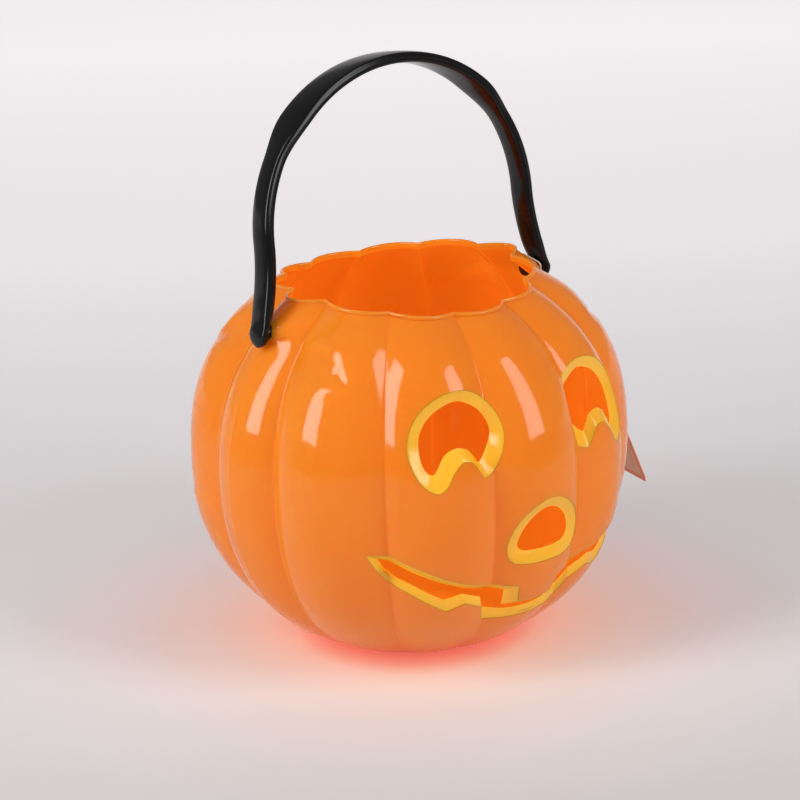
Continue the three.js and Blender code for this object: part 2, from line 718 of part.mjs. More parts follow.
// The handle is built upright about its pins and leans back about them
const swing = new THREE.Group();
swing.position.z = PIVOT_HEIGHT;
swing.rotation.x = -radians(HANDLE_LEAN);
addPart('handle', toGeometry(handleSolid()), blackPlastic, swing);
group.add(swing);

addPart('hang_tag', toGeometry(tagSolid()), pinkCard);

export default group;
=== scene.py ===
from math import cos, degrees, exp, hypot, pi, radians, sin, sqrt, tan

import bmesh
import bpy
import numpy as np
from mathutils import Matrix, Vector
from mathutils.geometry import delaunay_2d_cdt


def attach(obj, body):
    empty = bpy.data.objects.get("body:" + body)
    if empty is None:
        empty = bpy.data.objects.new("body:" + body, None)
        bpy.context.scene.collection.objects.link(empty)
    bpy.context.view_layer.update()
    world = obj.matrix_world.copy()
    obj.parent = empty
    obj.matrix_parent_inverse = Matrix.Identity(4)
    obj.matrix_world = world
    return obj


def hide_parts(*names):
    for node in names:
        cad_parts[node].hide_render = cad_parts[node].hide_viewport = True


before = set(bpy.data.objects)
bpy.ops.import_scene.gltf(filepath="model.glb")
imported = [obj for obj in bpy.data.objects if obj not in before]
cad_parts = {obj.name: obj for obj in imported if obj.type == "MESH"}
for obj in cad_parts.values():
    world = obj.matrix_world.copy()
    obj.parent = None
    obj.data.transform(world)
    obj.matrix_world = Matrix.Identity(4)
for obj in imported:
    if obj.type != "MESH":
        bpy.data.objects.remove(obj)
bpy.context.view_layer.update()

MM = 0.001

# Body: a lobe's crest line is a superellipse below and another above the belly
BELLY_RADIUS = 100.6
BELLY_HEIGHT = 88
LOWER_REACH = 95.2
LOWER_FULLNESS = 2.12
UPPER_REACH = 90.5
UPPER_FULLNESS = 2.27
WALL = 1.6

# Lobes, with the bottoms of their valleys rounded
VALLEY_BEARINGS = [15, 44.5, 77, 103, 135.5, 165]
VALLEY_AT_BASE = 0.9
VALLEY_AT_BELLY = 6.9
VALLEY_AT_RIM = 5.2
VALLEY_ROUNDING = 0.03
VALLEY_STEP = 0.007
LOBE_STEPS = 20
CLUSTERING = 0.6

# How much fuller the lobes beside the handle's are, and the handle's own, which have an upright pad
# under the foot and flare at the rim
SIDE_SWELL = 1.3
SIDE_SWELL_HEIGHTS = (0, 40)
SHOULDER_SWELL = 1.6
SHOULDER_SWELL_HEIGHTS = (95, 152)
SWELL_END = 155
SIDE_LOBE_BEARINGS = [(44.5, 77), (103, 135.5)]
HANDLE_LOBE_BEARINGS = (77, 103)
RIM_FLARE = 4.2
PAD_REACH = 76.9
PAD_HALF_TURN = 3
PAD_TAPER = 1.1
PAD_SWELL = 6.4
PAD_HEIGHTS = (150.5, 155)
PAD_FADES = (157, 166)
# The side lobes stay inside this distance from the middle where the handle's arms swing past
ARM_PLANE = 69.6
ARM_PASSES = (140, 147)

# Rim
RIM_RADIUS = 60
RIM_HEIGHT = 167.6
RIM_TILT = 1.0
RIM_SADDLE = 2.5
SHOULDER_HEIGHT = 150
COLLAR_HEIGHT = 1.7
COLLAR_FLARE = 0.3
LIP_RADIUS = 0.8

# Base
PAD_RADIUS = 12
GROOVE_OUTER_RADIUS = 31
GROOVE_DEPTH = 1.2
GROOVE_SLOPE = 1.8
GROOVE_EDGE = 0.7
# Underside from near the body's edge in to the middle: [radius, height]
GROOVE_SECTION = [
    (GROOVE_OUTER_RADIUS + 6, 0.0),
    (GROOVE_OUTER_RADIUS + GROOVE_EDGE, 0.0),
    (GROOVE_OUTER_RADIUS, 0.12),
    (GROOVE_OUTER_RADIUS - GROOVE_SLOPE / 2, GROOVE_DEPTH / 2),
    (GROOVE_OUTER_RADIUS - GROOVE_SLOPE, GROOVE_DEPTH - 0.1),
    (GROOVE_OUTER_RADIUS - GROOVE_SLOPE - GROOVE_EDGE, GROOVE_DEPTH),
    (PAD_RADIUS + GROOVE_SLOPE + GROOVE_EDGE, GROOVE_DEPTH),
    (PAD_RADIUS + GROOVE_SLOPE, GROOVE_DEPTH - 0.1),
    (PAD_RADIUS + GROOVE_SLOPE / 2, GROOVE_DEPTH / 2),
    (PAD_RADIUS, 0.12),
    (PAD_RADIUS - GROOVE_EDGE, 0.0),
    (PAD_RADIUS / 2, 0.0),
]

# Shallow panels in the lobes behind the handle's, and the mould's parting line on the handle's lobes
PANEL_RECESS = 0.8
PANEL_LOWER_STEP = [72, 77]
PANEL_UPPER_STEP = [141.7, 145.7]
PANEL_LOBE_BEARINGS = [103, 135.5]
PANEL_SIDE = 1.6
STEP_ROUNDING = 0.18
SEAM_BEARING = 90
SEAM_HEIGHT = 0.22
SEAM_WIDTH = 0.55
SEAM_COLUMNS = (-0.7, -0.45, -0.22, 0.22, 0.45, 0.7)

# Face: outlines are [across, up] from the named centre, and across is measured on this radius
FACE_RADIUS = 100
SEAT_GAP = 0.04
LINER_LIP = 1.2
EYE_BEARING = 25
EYE_HEIGHT = 118
EYE_DEPTH = 4
NOSE_HEIGHT = 72
NOSE_DEPTH = 3
MOUTH_HEIGHT = 47
MOUTH_DEPTH = 2.5

# Each point of the outer edge with its partner on the rim of the hole: across, up, across, up
SHARP = True
EYE_OUTLINE = [
    (12.6, -16.5, 10.4, -9.4), (17.8, -14.7, 12.8, -8.2, SHARP), (22.2, -5.6, 17.8, -1.6),
    (23.5, 3.4, 18.8, 5.0), (19.8, 12.9, 15.4, 11.3), (12.0, 19.0, 9.0, 15.9),
    (2.5, 21.2, 1.9, 18.1), (-8.0, 19.4, -6.6, 16.1), (-16.6, 14.3, -13.6, 11.4),
    (-21.8, 6.6, -17.5, 4.6), (-23.0, -2.6, -17.6, -3.4), (-19.9, -11.6, -15.9, -9.2),
    (-15.4, -17.3, -13.6, -11.7), (-9.8, -19.9, -11.4, -11.9), (-6.0, -17.3, -9.6, -9.4),
    (-2.6, -11.4, -6.4, -4.0), (1.9, -7.5, -1.0, -1.4), (6.6, -8.6, 5.2, -2.9),
    (9.9, -13.2, 8.6, -6.8),
]
# One half from the middle of the top, clockwise; the other half mirrors it
NOSE_HALF = [
    (0, 15.8, 0, 10.7), (7.6, 13.7, 5.4, 9.1), (15.2, 7.6, 10.8, 4.5), (19.8, -0.6, 14.2, -1.6),
    (20.6, -7.4, 14.9, -6.0), (17.9, -12.5, 12.3, -8.5), (10.6, -14.3, 6.4, -9.2),
    (0, -14.5, 0, -9.4),
]
# One half from the middle of the upper tooth out to the corner of the mouth and back below
MOUTH_HALF = [
    (0, -10.6, 0, -14.0), (10.3, -9.6, 17.1, -12.8, SHARP), (12.2, -1.0, 18.3, -3.5, SHARP),
    (25.5, 1.5, 26.2, -1.7), (37.9, 4.6, 37.7, 0.9), (51.0, 9.9, 50.3, 5.6),
    (64.0, 15.9, 62.6, 10.9), (75.7, 20.1, 73.6, 15.6), (86.9, 22.1, 82.6, 19.0, SHARP),
    (82.9, 14.2, 80.0, 13.8), (77.6, 7.6, 76.6, 10.2), (67.4, 2.1, 67.2, 5.9),
    (57.6, -3.9, 57.6, 0.2), (50.1, -8.2, 51.7, -3.2, SHARP), (40.8, -5.0, 42.1, -1.1, SHARP),
    (30.2, -10.0, 31.0, -5.7, SHARP), (27.4, -18.4, 27.2, -13.4, SHARP), (14.0, -19.0, 15.6, -15.6),
    (0, -19.2, 0, -16.2),
]
OUTLINE_STEPS = 7

# Handle
PIVOT_HEIGHT = 157
HANDLE_LEAN = 5.5
STRAP_WIDTH = 11.6
GRIP_WIDTH = 15.5
GRIP_DEPTH = 36
GRIP_SPREAD = 18
GRIP_TWIST = 14
STRAP_THICKNESS = 5.6
STRAP_CROWN = 0.45
STRAP_EDGE = 1.3
ARCH_HALF_WIDTH = 73.2
ARCH_RISE = 71
ARM_HEIGHT = 38
ARM_SPLAY = 27
ARM_SPLAY_LENGTH = 12
ARM_STRAIGHT_LENGTH = 10
FOOT_RADIUS = 5.8
FOOT_THICKNESS = 3.6
FOOT_CLEARANCE = 1.55
FOOT_THINNING = 0.55
PIN_RADIUS = 3.1
PIN_CLEARANCE = 0.3
COLLAR_LENGTH = 0.8
HEAD_RADIUS = 3.75
HEAD_LENGTH = 1.6
HEAD_TIP_RADIUS = 3.3
HEAD_CLEARANCE = 0.35

# Tag
TAG_BEARING = 79
TAG_LEAN = 22
TAG_FREE_LENGTH = 92
TAG_WIDTH = 33.6
TAG_THICKNESS = 0.4
TAG_GAP = 0.3
TONGUE_WIDTH = 9.4
TONGUE_TOP = 163.4
SHOULDER_TOP = 148
SHOULDER_BOTTOM = 140
TAG_CORNER = 1.5
TAG_BORDER = 2.7
TAG_BORDER_EDGE = 0.0008

# Camera, as fitted to the photograph, which is taken as 800 pixels square
PHOTO_PIXELS = 800
CAMERA_FOCAL_PIXELS = 2717.6
CAMERA_AZIMUTH = -37.19
CAMERA_ELEVATION = 18.295
CAMERA_ROLL = -2.06
CAMERA_DISTANCE = 1248.2
CAMERA_AIM_HEIGHT = 108.33
CAMERA_AIM_SIDEWAYS = -3.94
SENSOR_WIDTH = 36
CAMERA_CLIP = (0.05, 50)


def srgb(red, green, blue):
    """A picture colour from 0 to 255 as the linear colour that shaders take."""
    def linear(value):
        share = value / 255
        return share / 12.92 if share <= 0.04045 else ((share + 0.055) / 1.055) ** 2.4
    return (linear(red), linear(green), linear(blue), 1.0)


def smoothstep(value, low, high):
    share = clamp((value - low) / (high - low))
    return share * share * (3 - 2 * share)


def clamp(value, low=0.0, high=1.0):
    return min(max(value, low), high)


# The body's surface

VALLEYS = [-bearing for bearing in reversed(VALLEY_BEARINGS)] + VALLEY_BEARINGS


def crest_radius(height):
    below = height < BELLY_HEIGHT
    reach = LOWER_REACH if below else UPPER_REACH
    fullness = LOWER_FULLNESS if below else UPPER_FULLNESS
    share = min(abs(height - BELLY_HEIGHT) / reach, 1.0)
    return BELLY_RADIUS * (1 - share ** fullness) ** (1 / fullness)


NECK_SHARE = (1 - (RIM_RADIUS / BELLY_RADIUS) ** UPPER_FULLNESS) ** (1 / UPPER_FULLNESS)
NECK_HEIGHT = BELLY_HEIGHT + UPPER_REACH * NECK_SHARE


def rim_height(bearing):
    turn = radians(bearing)
    return RIM_HEIGHT - RIM_TILT * cos(turn) - RIM_SADDLE * cos(2 * turn)


def profile_height(bearing, height):
    """Above the shoulder the profile is stretched or squeezed so that it ends at the collar's foot."""
    if height < SHOULDER_HEIGHT:
        return height
    neck = rim_height(bearing) - COLLAR_HEIGHT
    stretch = (NECK_HEIGHT - SHOULDER_HEIGHT) / (neck - SHOULDER_HEIGHT)
    return SHOULDER_HEIGHT + (height - SHOULDER_HEIGHT) * stretch


def valley_depth(height):
    if height < BELLY_HEIGHT:
        rise = sin(pi / 2 * height / BELLY_HEIGHT)
        return VALLEY_AT_BASE + (VALLEY_AT_BELLY - VALLEY_AT_BASE) * rise
    share = (height - BELLY_HEIGHT) / (NECK_HEIGHT - BELLY_HEIGHT)
    return VALLEY_AT_BELLY + (VALLEY_AT_RIM - VALLEY_AT_BELLY) * share


def lobe_place(bearing):
    """Where a bearing lies in its lobe, from -1 to 1."""
    start = VALLEYS[0]
    turned = (bearing - start) % 360 + start
    index = len(VALLEYS) - 1
    while index > 0 and VALLEYS[index] > turned:
        index -= 1
    low = VALLEYS[index]
    high = VALLEYS[index + 1] if index + 1 < len(VALLEYS) else start + 360
    return 2 * (turned - low) / (high - low) - 1


def lobe_dip(place):
    """0 on a lobe's crest, rising as a square towards the valley and levelling off in its bottom."""
    away = abs(place)
    shoulder = 1 - VALLEY_ROUNDING
    if away < shoulder:
        return away * away
    return shoulder - (1 - away) ** 2 * shoulder / VALLEY_ROUNDING


def off_face(bearing):
    """A bearing's angle from the face to either side."""
    return abs((bearing + 180) % 360 - 180)


def panel_recess(bearing, height):
    first, last = PANEL_LOBE_BEARINGS
    turned = off_face(bearing)
    if not first < turned < last:
        return 0.0
    rise = clamp((height - PANEL_LOWER_STEP[0]) / (PANEL_LOWER_STEP[1] - PANEL_LOWER_STEP[0]))
    fall = clamp((PANEL_UPPER_STEP[1] - height) / (PANEL_UPPER_STEP[1] - PANEL_UPPER_STEP[0]))
    side = smoothstep(turned, first, first + PANEL_SIDE) * smoothstep(-turned, -last, -last + PANEL_SIDE)
    return PANEL_RECESS * min(rise, fall) * side


def seam(bearing, radius):
    turned = off_face(bearing)
    distance = radians(turned - SEAM_BEARING) * radius
    return SEAM_HEIGHT * exp(-(distance / SEAM_WIDTH) ** 2)


def swell(bearing, height, place, radius):
    """How much further out a side lobe or the handle's lobe stands than a front one would."""
    turned = off_face(bearing)
    crest = 1 - place * place
    if HANDLE_LOBE_BEARINGS[0] < turned < HANDLE_LOBE_BEARINGS[1]:
        full = PAD_SWELL + (RIM_FLARE - PAD_SWELL) * smoothstep(height, *PAD_FADES)
        wanted = full * smoothstep(height, *PAD_HEIGHTS) * crest * crest
        beside = max(abs(turned - SEAM_BEARING) - PAD_HALF_TURN, 0.0)
        return min(wanted, max(PAD_REACH - PAD_TAPER * beside - radius, 0.0))
    if not any(low < turned < high for low, high in SIDE_LOBE_BEARINGS):
        return 0.0
    whole = SIDE_SWELL * smoothstep(height, *SIDE_SWELL_HEIGHTS)
    whole += SHOULDER_SWELL * smoothstep(height, *SHOULDER_SWELL_HEIGHTS)
    whole *= (1 - smoothstep(height, SWELL_END, RIM_HEIGHT)) * crest
    room = max(ARM_PLANE / abs(sin(radians(turned))) - radius, 0.0)
    return whole + (min(whole, room) - whole) * smoothstep(height, *ARM_PASSES)


def outer_radius(bearing, height):
    profile = profile_height(bearing, height)
    crest = crest_radius(profile)
    place = lobe_place(bearing)
    dip = valley_depth(profile) * lobe_dip(place)
    radius = crest - dip
    return radius + swell(bearing, height, place, radius) - panel_recess(bearing, height)


def at_bearing(bearing, radius, height):
    turn = radians(bearing)
    return Vector((radius * sin(turn), -radius * cos(turn), height))


SLOPE_STEP = 0.05
REFINEMENTS = 20


def beneath(bearing, height, depth):
    """A point that lies the given depth inside the outer surface, square to its profile."""
    above = max(height, SLOPE_STEP)
    high = outer_radius(bearing, above + SLOPE_STEP)
    low = outer_radius(bearing, above - SLOPE_STEP)
    slope = (high - low) / (2 * SLOPE_STEP)
    length = hypot(1, slope)
    radius = outer_radius(bearing, height) - depth / length
    return at_bearing(bearing, radius, height + depth * slope / length)


def inner_crest_radius(bearing, height):
    """Radius at which the wall's inner face passes a height on a lobe's crest."""
    outside = height
    for _ in range(REFINEMENTS):
        outside += height - beneath(bearing, outside, WALL).z
    point = beneath(bearing, outside, WALL)
    return hypot(point.x, point.y)


# Meshes

CREASE_ANGLE = 42
PIN_STEPS = 40
BORE_STEPS = 48
BORE_MARGIN = 6
SURFACE_MAP = "surface"
SURFACE_MAP_SCALE = 0.01


def add_object(name, data):
    made = bpy.data.objects.new(name, data)
    bpy.context.scene.collection.objects.link(made)
    return made


def make_object(name, points, faces, material, sharp=()):
    """An object from points in millimetres, with the listed edges sharp."""
    mesh = bpy.data.meshes.new(name)
    mesh.from_pydata([Vector(point) * MM for point in points], [], faces)
    mesh.validate()
    mesh.materials.append(material)
    mesh.polygons.foreach_set("use_smooth", [True] * len(mesh.polygons))
    if sharp:
        wanted = {tuple(sorted(edge)) for edge in sharp}
        flags = [tuple(sorted(edge.vertices)) in wanted for edge in mesh.edges]
        attribute = mesh.attributes.new("sharp_edge", "BOOLEAN", "EDGE")
        attribute.data.foreach_set("value", flags)
    mesh.update()
    return add_object(name, mesh)


def add_surface_map(made, places):
    """A UV map from each point's place on the piece's own surface, in millimetres."""
    layer = made.data.uv_layers.new(name=SURFACE_MAP)
    for loop in made.data.loops:
        across, down = places[loop.vertex_index]
        layer.data[loop.index].uv = (across * SURFACE_MAP_SCALE, down * SURFACE_MAP_SCALE)


def face_outward(made):
    """Turns a closed mesh's faces outward."""
    work = bmesh.new()
    work.from_mesh(made.data)
    bmesh.ops.recalc_face_normals(work, faces=work.faces)
    work.to_mesh(made.data)
    work.free()


def pin_tool(side, section, material):
    """A closed rod about the pins' axis from [radius, distance from the middle]."""
    points, faces = turned_piece(section, side, BORE_STEPS)
    lifted = [point + Vector((0, 0, PIVOT_HEIGHT)) for point in points]
    made = make_object("tool", lifted, faces, material)
    face_outward(made)
    return made


def cut(made, tool):
    """Cuts a tool object out of another one and removes the tool."""
    modifier = made.modifiers.new("cut", "BOOLEAN")
    modifier.operation = "DIFFERENCE"
    modifier.solver = "EXACT"
    modifier.object = tool
    graph = bpy.context.evaluated_depsgraph_get()
    mesh = bpy.data.meshes.new_from_object(made.evaluated_get(graph))
    made.modifiers.clear()
    made.data = mesh
    bpy.data.objects.remove(tool)


def ring_faces(first, second, count):
    """Quads between two rings of points whose indices start at first and second."""
    after = [(i + 1) % count for i in range(count)]
    return [(first + i, first + k, second + k, second + i) for i, k in enumerate(after)]


# Outlines of the face's openings

def mirrored(outline):
    return [(-x, y, -u, v, *corner) for x, y, u, v, *corner in reversed(outline)]


def whole_from_half(half):
    return half + mirrored(half)[1:-1]


def catmull_rom(before, start, end, after, share):
    """A point of the centripetal Catmull-Rom span from start to end."""
    def knot(a, b):
        return max((b - a).length_squared ** 0.25, 1e-4)
    first, middle, last = knot(before, start), knot(start, end), knot(end, after)
    leave = (start - before) / first - (end - before) / (first + middle) + (end - start) / middle
    arrive = (end - start) / middle - (after - start) / (middle + last) + (after - end) / last
    leave, arrive = leave * middle, arrive * middle
    square, cube = share * share, share ** 3
    return (
        start * (2 * cube - 3 * square + 1)
        + leave * (cube - 2 * square + share)
        + end * (3 * square - 2 * cube)
        + arrive * (cube - square)
    )


def closed_curve(points, sharp):
    """A closed curve through the points, smooth except at the sharp ones."""
    count = len(points)
    samples = []
    for i in range(count):
        start, end = points[i], points[(i + 1) % count]
        before = 2 * start - end if sharp[i] else points[i - 1]
        after = 2 * end - start if sharp[(i + 1) % count] else points[(i + 2) % count]
        for k in range(OUTLINE_STEPS):
            samples.append(catmull_rom(before, start, end, after, k / OUTLINE_STEPS))
    return samples


class Opening:
    """Paired samples of a cut-out's outer edge and of its hole, [across, up] on the face."""

    def __init__(self, outline, across, up, depth):
        sharp = [SHARP in row[4:] for row in outline]
        centre = Vector((across, up))
        self.edge = closed_curve([Vector(row[:2]) + centre for row in outline], sharp)
        self.hole = closed_curve([Vector(row[2:4]) + centre for row in outline], sharp)
        self.corners = [i * OUTLINE_STEPS for i, cornered in enumerate(sharp) if cornered]
        self.depth = depth


EYE_ACROSS = radians(EYE_BEARING) * FACE_RADIUS
EYE_LEFT = Opening(EYE_OUTLINE, -EYE_ACROSS, EYE_HEIGHT, EYE_DEPTH)
EYE_RIGHT = Opening(mirrored(EYE_OUTLINE), EYE_ACROSS, EYE_HEIGHT, EYE_DEPTH)
NOSE = Opening(whole_from_half(NOSE_HALF), 0, NOSE_HEIGHT, NOSE_DEPTH)
MOUTH = Opening(whole_from_half(MOUTH_HALF), 0, MOUTH_HEIGHT, MOUTH_DEPTH)


def on_face(point, depth):
    return beneath(degrees(point[0] / FACE_RADIUS), point[1], depth)


def signed_area(points):
    return sum(a.x * b.y - b.x * a.y for a, b in zip(points, points[1:] + points[:1])) / 2


def grown(points, distance):
    """A closed outline moved outward by a distance, with its corners mitred."""
    turn = 1 if signed_area(points) > 0 else -1
    moved = []
    for i, point in enumerate(points):
        before = (point - points[i - 1]).normalized()
        after = (points[(i + 1) % len(points)] - point).normalized()
        normal = Vector((before.y + after.y, -before.x - after.x)).normalized() * turn
        straight = Vector((before.y, -before.x)) * turn
        moved.append(point + normal * (distance / max(normal.dot(straight), 0.35)))
    return moved


def inside_polygon(spots, polygon):
    """Which of the spots, rows of a numpy array, lie inside a closed polygon."""
    inside = np.zeros(len(spots), bool)
    x, y = spots[:, 0], spots[:, 1]
    for (ax, ay), (bx, by) in zip(polygon, np.roll(polygon, -1, axis=0)):
        crosses = (ay > y) != (by > y)
        if crosses.any():
            at = ax + (y - ay) * (bx - ax) / ((by - ay) or 1e-9)
            inside ^= crosses & (x < at)
    return inside


def distance_to_polygon(spots, polygon):
    best = np.full(len(spots), 1e9)
    for a, b in zip(polygon, np.roll(polygon, -1, axis=0)):
        along = b - a
        share = np.clip(((spots - a) @ along) / max(along @ along, 1e-12), 0, 1)
        best = np.minimum(best, np.linalg.norm(spots - a - share[:, None] * along, axis=1))
    return best


# Shell

def column_bearings():
    bearings = []
    for i, low in enumerate(VALLEYS):
        high = VALLEYS[i + 1] if i + 1 < len(VALLEYS) else VALLEYS[0] + 360
        for k in range(LOBE_STEPS):
            even = 2 * k / LOBE_STEPS - 1
            place = CLUSTERING * sin(pi / 2 * even) + (1 - CLUSTERING) * even
            bearings.append(low + (high - low) * (place + 1) / 2)
        bearings += [low + (high - low) * share for share in (VALLEY_STEP, 1 - VALLEY_STEP)]
        middle = (low + high) / 2
        if abs(off_face(middle) - SEAM_BEARING) < 1:
            bearings += [middle + extra for extra in SEAM_COLUMNS]
    return sorted(bearings)


ROW_PITCH = 2.6
ROW_SAMPLES = 200
OUTLINE_CLEARANCE = ROW_PITCH * 0.45


def row_heights():
    """Heights at an even pitch along the crest that hit the panels' steps exactly."""
    stops = [0, *PANEL_LOWER_STEP, *PANEL_UPPER_STEP, SHOULDER_HEIGHT]
    rows = [0.0]
    for low, high in zip(stops, stops[1:]):
        samples = [low + (high - low) * k / ROW_SAMPLES for k in range(ROW_SAMPLES + 1)]
        lengths = [0.0]
        for a, b in zip(samples, samples[1:]):
            lengths.append(lengths[-1] + hypot(b - a, crest_radius(b) - crest_radius(a)))
        count = max(2, round(lengths[-1] / ROW_PITCH))
        for k in range(1, count + 1):
            rows.append(float(np.interp(lengths[-1] * k / count, lengths, samples)))
        rows += [low - STEP_ROUNDING, low + STEP_ROUNDING] if low else []
    return sorted(rows)


SHOULDER_ROWS = 9
SHOULDER_CROWDING = 1.4
LIP_STEPS = 6
FACE_REGION_BEARING = 62
FACE_REGION_HEIGHTS = [19, 146]


def triangulated_face(columns, rows, openings):
    """Points, triangles and openings' outlines of the part of the surface that holds the cut-outs."""
    edges = [np.array([tuple(p) for p in grown(o.edge, SEAT_GAP)]) for o in openings]
    scale = radians(1) * FACE_RADIUS
    border = [(b, h) for b in columns for h in (rows[0], rows[-1])]
    border += [(b, h) for b in (columns[0], columns[-1]) for h in rows[1:-1]]
    middle = [(b, h) for b in columns[1:-1] for h in rows[1:-1]]
    spots = np.array(middle) * (scale, 1)
    keep = np.ones(len(spots), bool)
    for polygon in edges:
        keep &= ~inside_polygon(spots, polygon)
        keep &= distance_to_polygon(spots, polygon) > OUTLINE_CLEARANCE
    points = [Vector((b * scale, h)) for b, h in border]
    points += [Vector(spot) for spot in spots[keep]]
    constraints = []
    rings = []
    for polygon in edges:
        start = len(points)
        points += [Vector(p) for p in polygon]
        count = len(polygon)
        constraints += [(start + i, start + (i + 1) % count) for i in range(count)]
        rings.append([start + i for i in range(count)])
    flat, _, faces, sources, _, _ = delaunay_2d_cdt(points, constraints, [], 0, 1e-5)
    centres = np.array([sum((flat[i] for i in face), Vector((0, 0))) / len(face) for face in faces])
    solid = np.ones(len(faces), bool)
    for polygon in edges:
        solid &= ~inside_polygon(centres, polygon)
    place = {}
    for new, source in enumerate(sources):
        for old in source:
            place[old] = new
    spots_out = [(point.x / scale, point.y) for point in flat]
    triangles = [face for face, kept in zip(faces, solid) if kept]
    outlines = [[place[i] for i in ring] for ring in rings]
    return spots_out, triangles, outlines


def shell_object(material):
    bearings = column_bearings()
    heights = row_heights()
    count = len(bearings)

    # The surface's own coordinates, a bearing and a height, before any thickness
    spots = []
    index = {}
    def spot(bearing, height):
        key = (round(bearing, 5), round(height, 5))
        if key not in index:
            index[key] = len(spots)
            spots.append((bearing, height))
        return index[key]

    face_columns = [b for b in bearings if abs(b) < FACE_REGION_BEARING]
    face_rows = [h for h in heights if FACE_REGION_HEIGHTS[0] < h < FACE_REGION_HEIGHTS[1]]
    openings = [EYE_LEFT, EYE_RIGHT, NOSE, MOUTH]
    surface = []
    for i, bearing in enumerate(bearings):
        following = bearings[(i + 1) % count]
        in_columns = face_columns[0] <= bearing < face_columns[-1]
        for low, high in zip(heights, heights[1:]):
            if in_columns and face_rows[0] <= low < face_rows[-1]:
                continue
            corners = [(bearing, low), (following, low), (following, high), (bearing, high)]
            surface.append([spot(*corner) for corner in corners])
    placed, triangles, outlines = triangulated_face(face_columns, face_rows, openings)
    numbers = [spot(*where) for where in placed]
    surface += [[numbers[i] for i in triangle] for triangle in triangles]
    outlines = [[numbers[i] for i in ring] for ring in outlines]

    # Both faces of the wall share that surface
    size = len(spots)
    outer = []
    for bearing, height in spots:
        point = beneath(bearing, height, 0)
        ridge = seam(bearing, hypot(point.x, point.y))
        turn = radians(bearing)
        outer.append(point + Vector((sin(turn), -cos(turn), 0)) * ridge)
    inner = [
        beneath(b, h, WALL) if h > 0 else at_bearing(b, outer_radius(b, 0) - WALL, WALL)
        for b, h in spots
    ]
    points = outer + inner
    faces = [tuple(face) for face in surface]
    faces += [tuple(size + i for i in reversed(face)) for face in surface]
    sharp = []
    for ring in outlines:
        for a, b in zip(ring, ring[1:] + ring[:1]):
            faces.append((a, b, size + b, size + a))
            sharp += [(a, b), (size + a, size + b)]

    # Shoulder and rounded lip, up from the last row outside, over the rim and down inside
    def add_ring(ring):
        start = len(points)
        points.extend(ring)
        return [start + i for i in range(len(ring))]

    def join(first, second):
        for i in range(len(first)):
            k = (i + 1) % len(first)
            faces.append((first[i], first[k], second[k], second[i]))

    shares = [1 - (1 - (i + 1) / SHOULDER_ROWS) ** SHOULDER_CROWDING for i in range(SHOULDER_ROWS)]

    def shoulder(bearing, share, depth):
        neck = rim_height(bearing) - COLLAR_HEIGHT
        return beneath(bearing, SHOULDER_HEIGHT + (neck - SHOULDER_HEIGHT) * share, depth)

    def collar(bearing, inward, below):
        """A point of the upright collar, from its outer face and from the top of the rim."""
        foot = shoulder(bearing, 1, 0)
        radius = hypot(foot.x, foot.y) + COLLAR_FLARE - inward
        return at_bearing(bearing, radius, rim_height(bearing) - below)

    section = [(COLLAR_FLARE * 0.15, COLLAR_HEIGHT - 0.12), (0, COLLAR_HEIGHT - 0.35)]
    for step in range(LIP_STEPS + 1):
        angle = pi * step / LIP_STEPS
        section.append((LIP_RADIUS * (1 - cos(angle)), LIP_RADIUS * (1 - sin(angle))))
    rings = [[spot(b, heights[-1]) for b in bearings]]
    rings += [add_ring([shoulder(b, share, 0) for b in bearings]) for share in shares]
    rings += [add_ring([collar(b, *place) for b in bearings]) for place in section]
    rings += [add_ring([shoulder(b, share, WALL) for b in bearings]) for share in reversed(shares)]
    rings.append([size + spot(b, heights[-1]) for b in bearings])
    for first, second in zip(rings, rings[1:]):
        join(first, second)

    # Base: ring and groove under the floor of the pail, and the floor above them
    below, above = [spot(b, 0.0) for b in bearings], [size + spot(b, 0.0) for b in bearings]
    for thickness, ring in ((0, below), (WALL, above)):
        for radius, height in GROOVE_SECTION:
            following = add_ring([at_bearing(b, radius, height + thickness) for b in bearings])
            join(ring, following)
            ring = following
        centre = add_ring([Vector((0, 0, thickness))])[0]
        for i in range(count):
            faces.append((ring[i], ring[(i + 1) % count], centre))
    made = make_object("pail_body", points, faces, material, sharp=sharp)
    face_outward(made)
    bore = PIN_RADIUS + PIN_CLEARANCE
    for side in (1, -1):
        hole = [(bore, HEAD_BASE - BORE_MARGIN), (bore, FOOT_INNER + BORE_MARGIN)]
        cut(made, pin_tool(side, hole, material))
    made.data.set_sharp_from_angle(angle=radians(CREASE_ANGLE))
    return made


# Liners

EDGE_ROUNDING = 0.45
HOLE_ROUNDING = 0.4


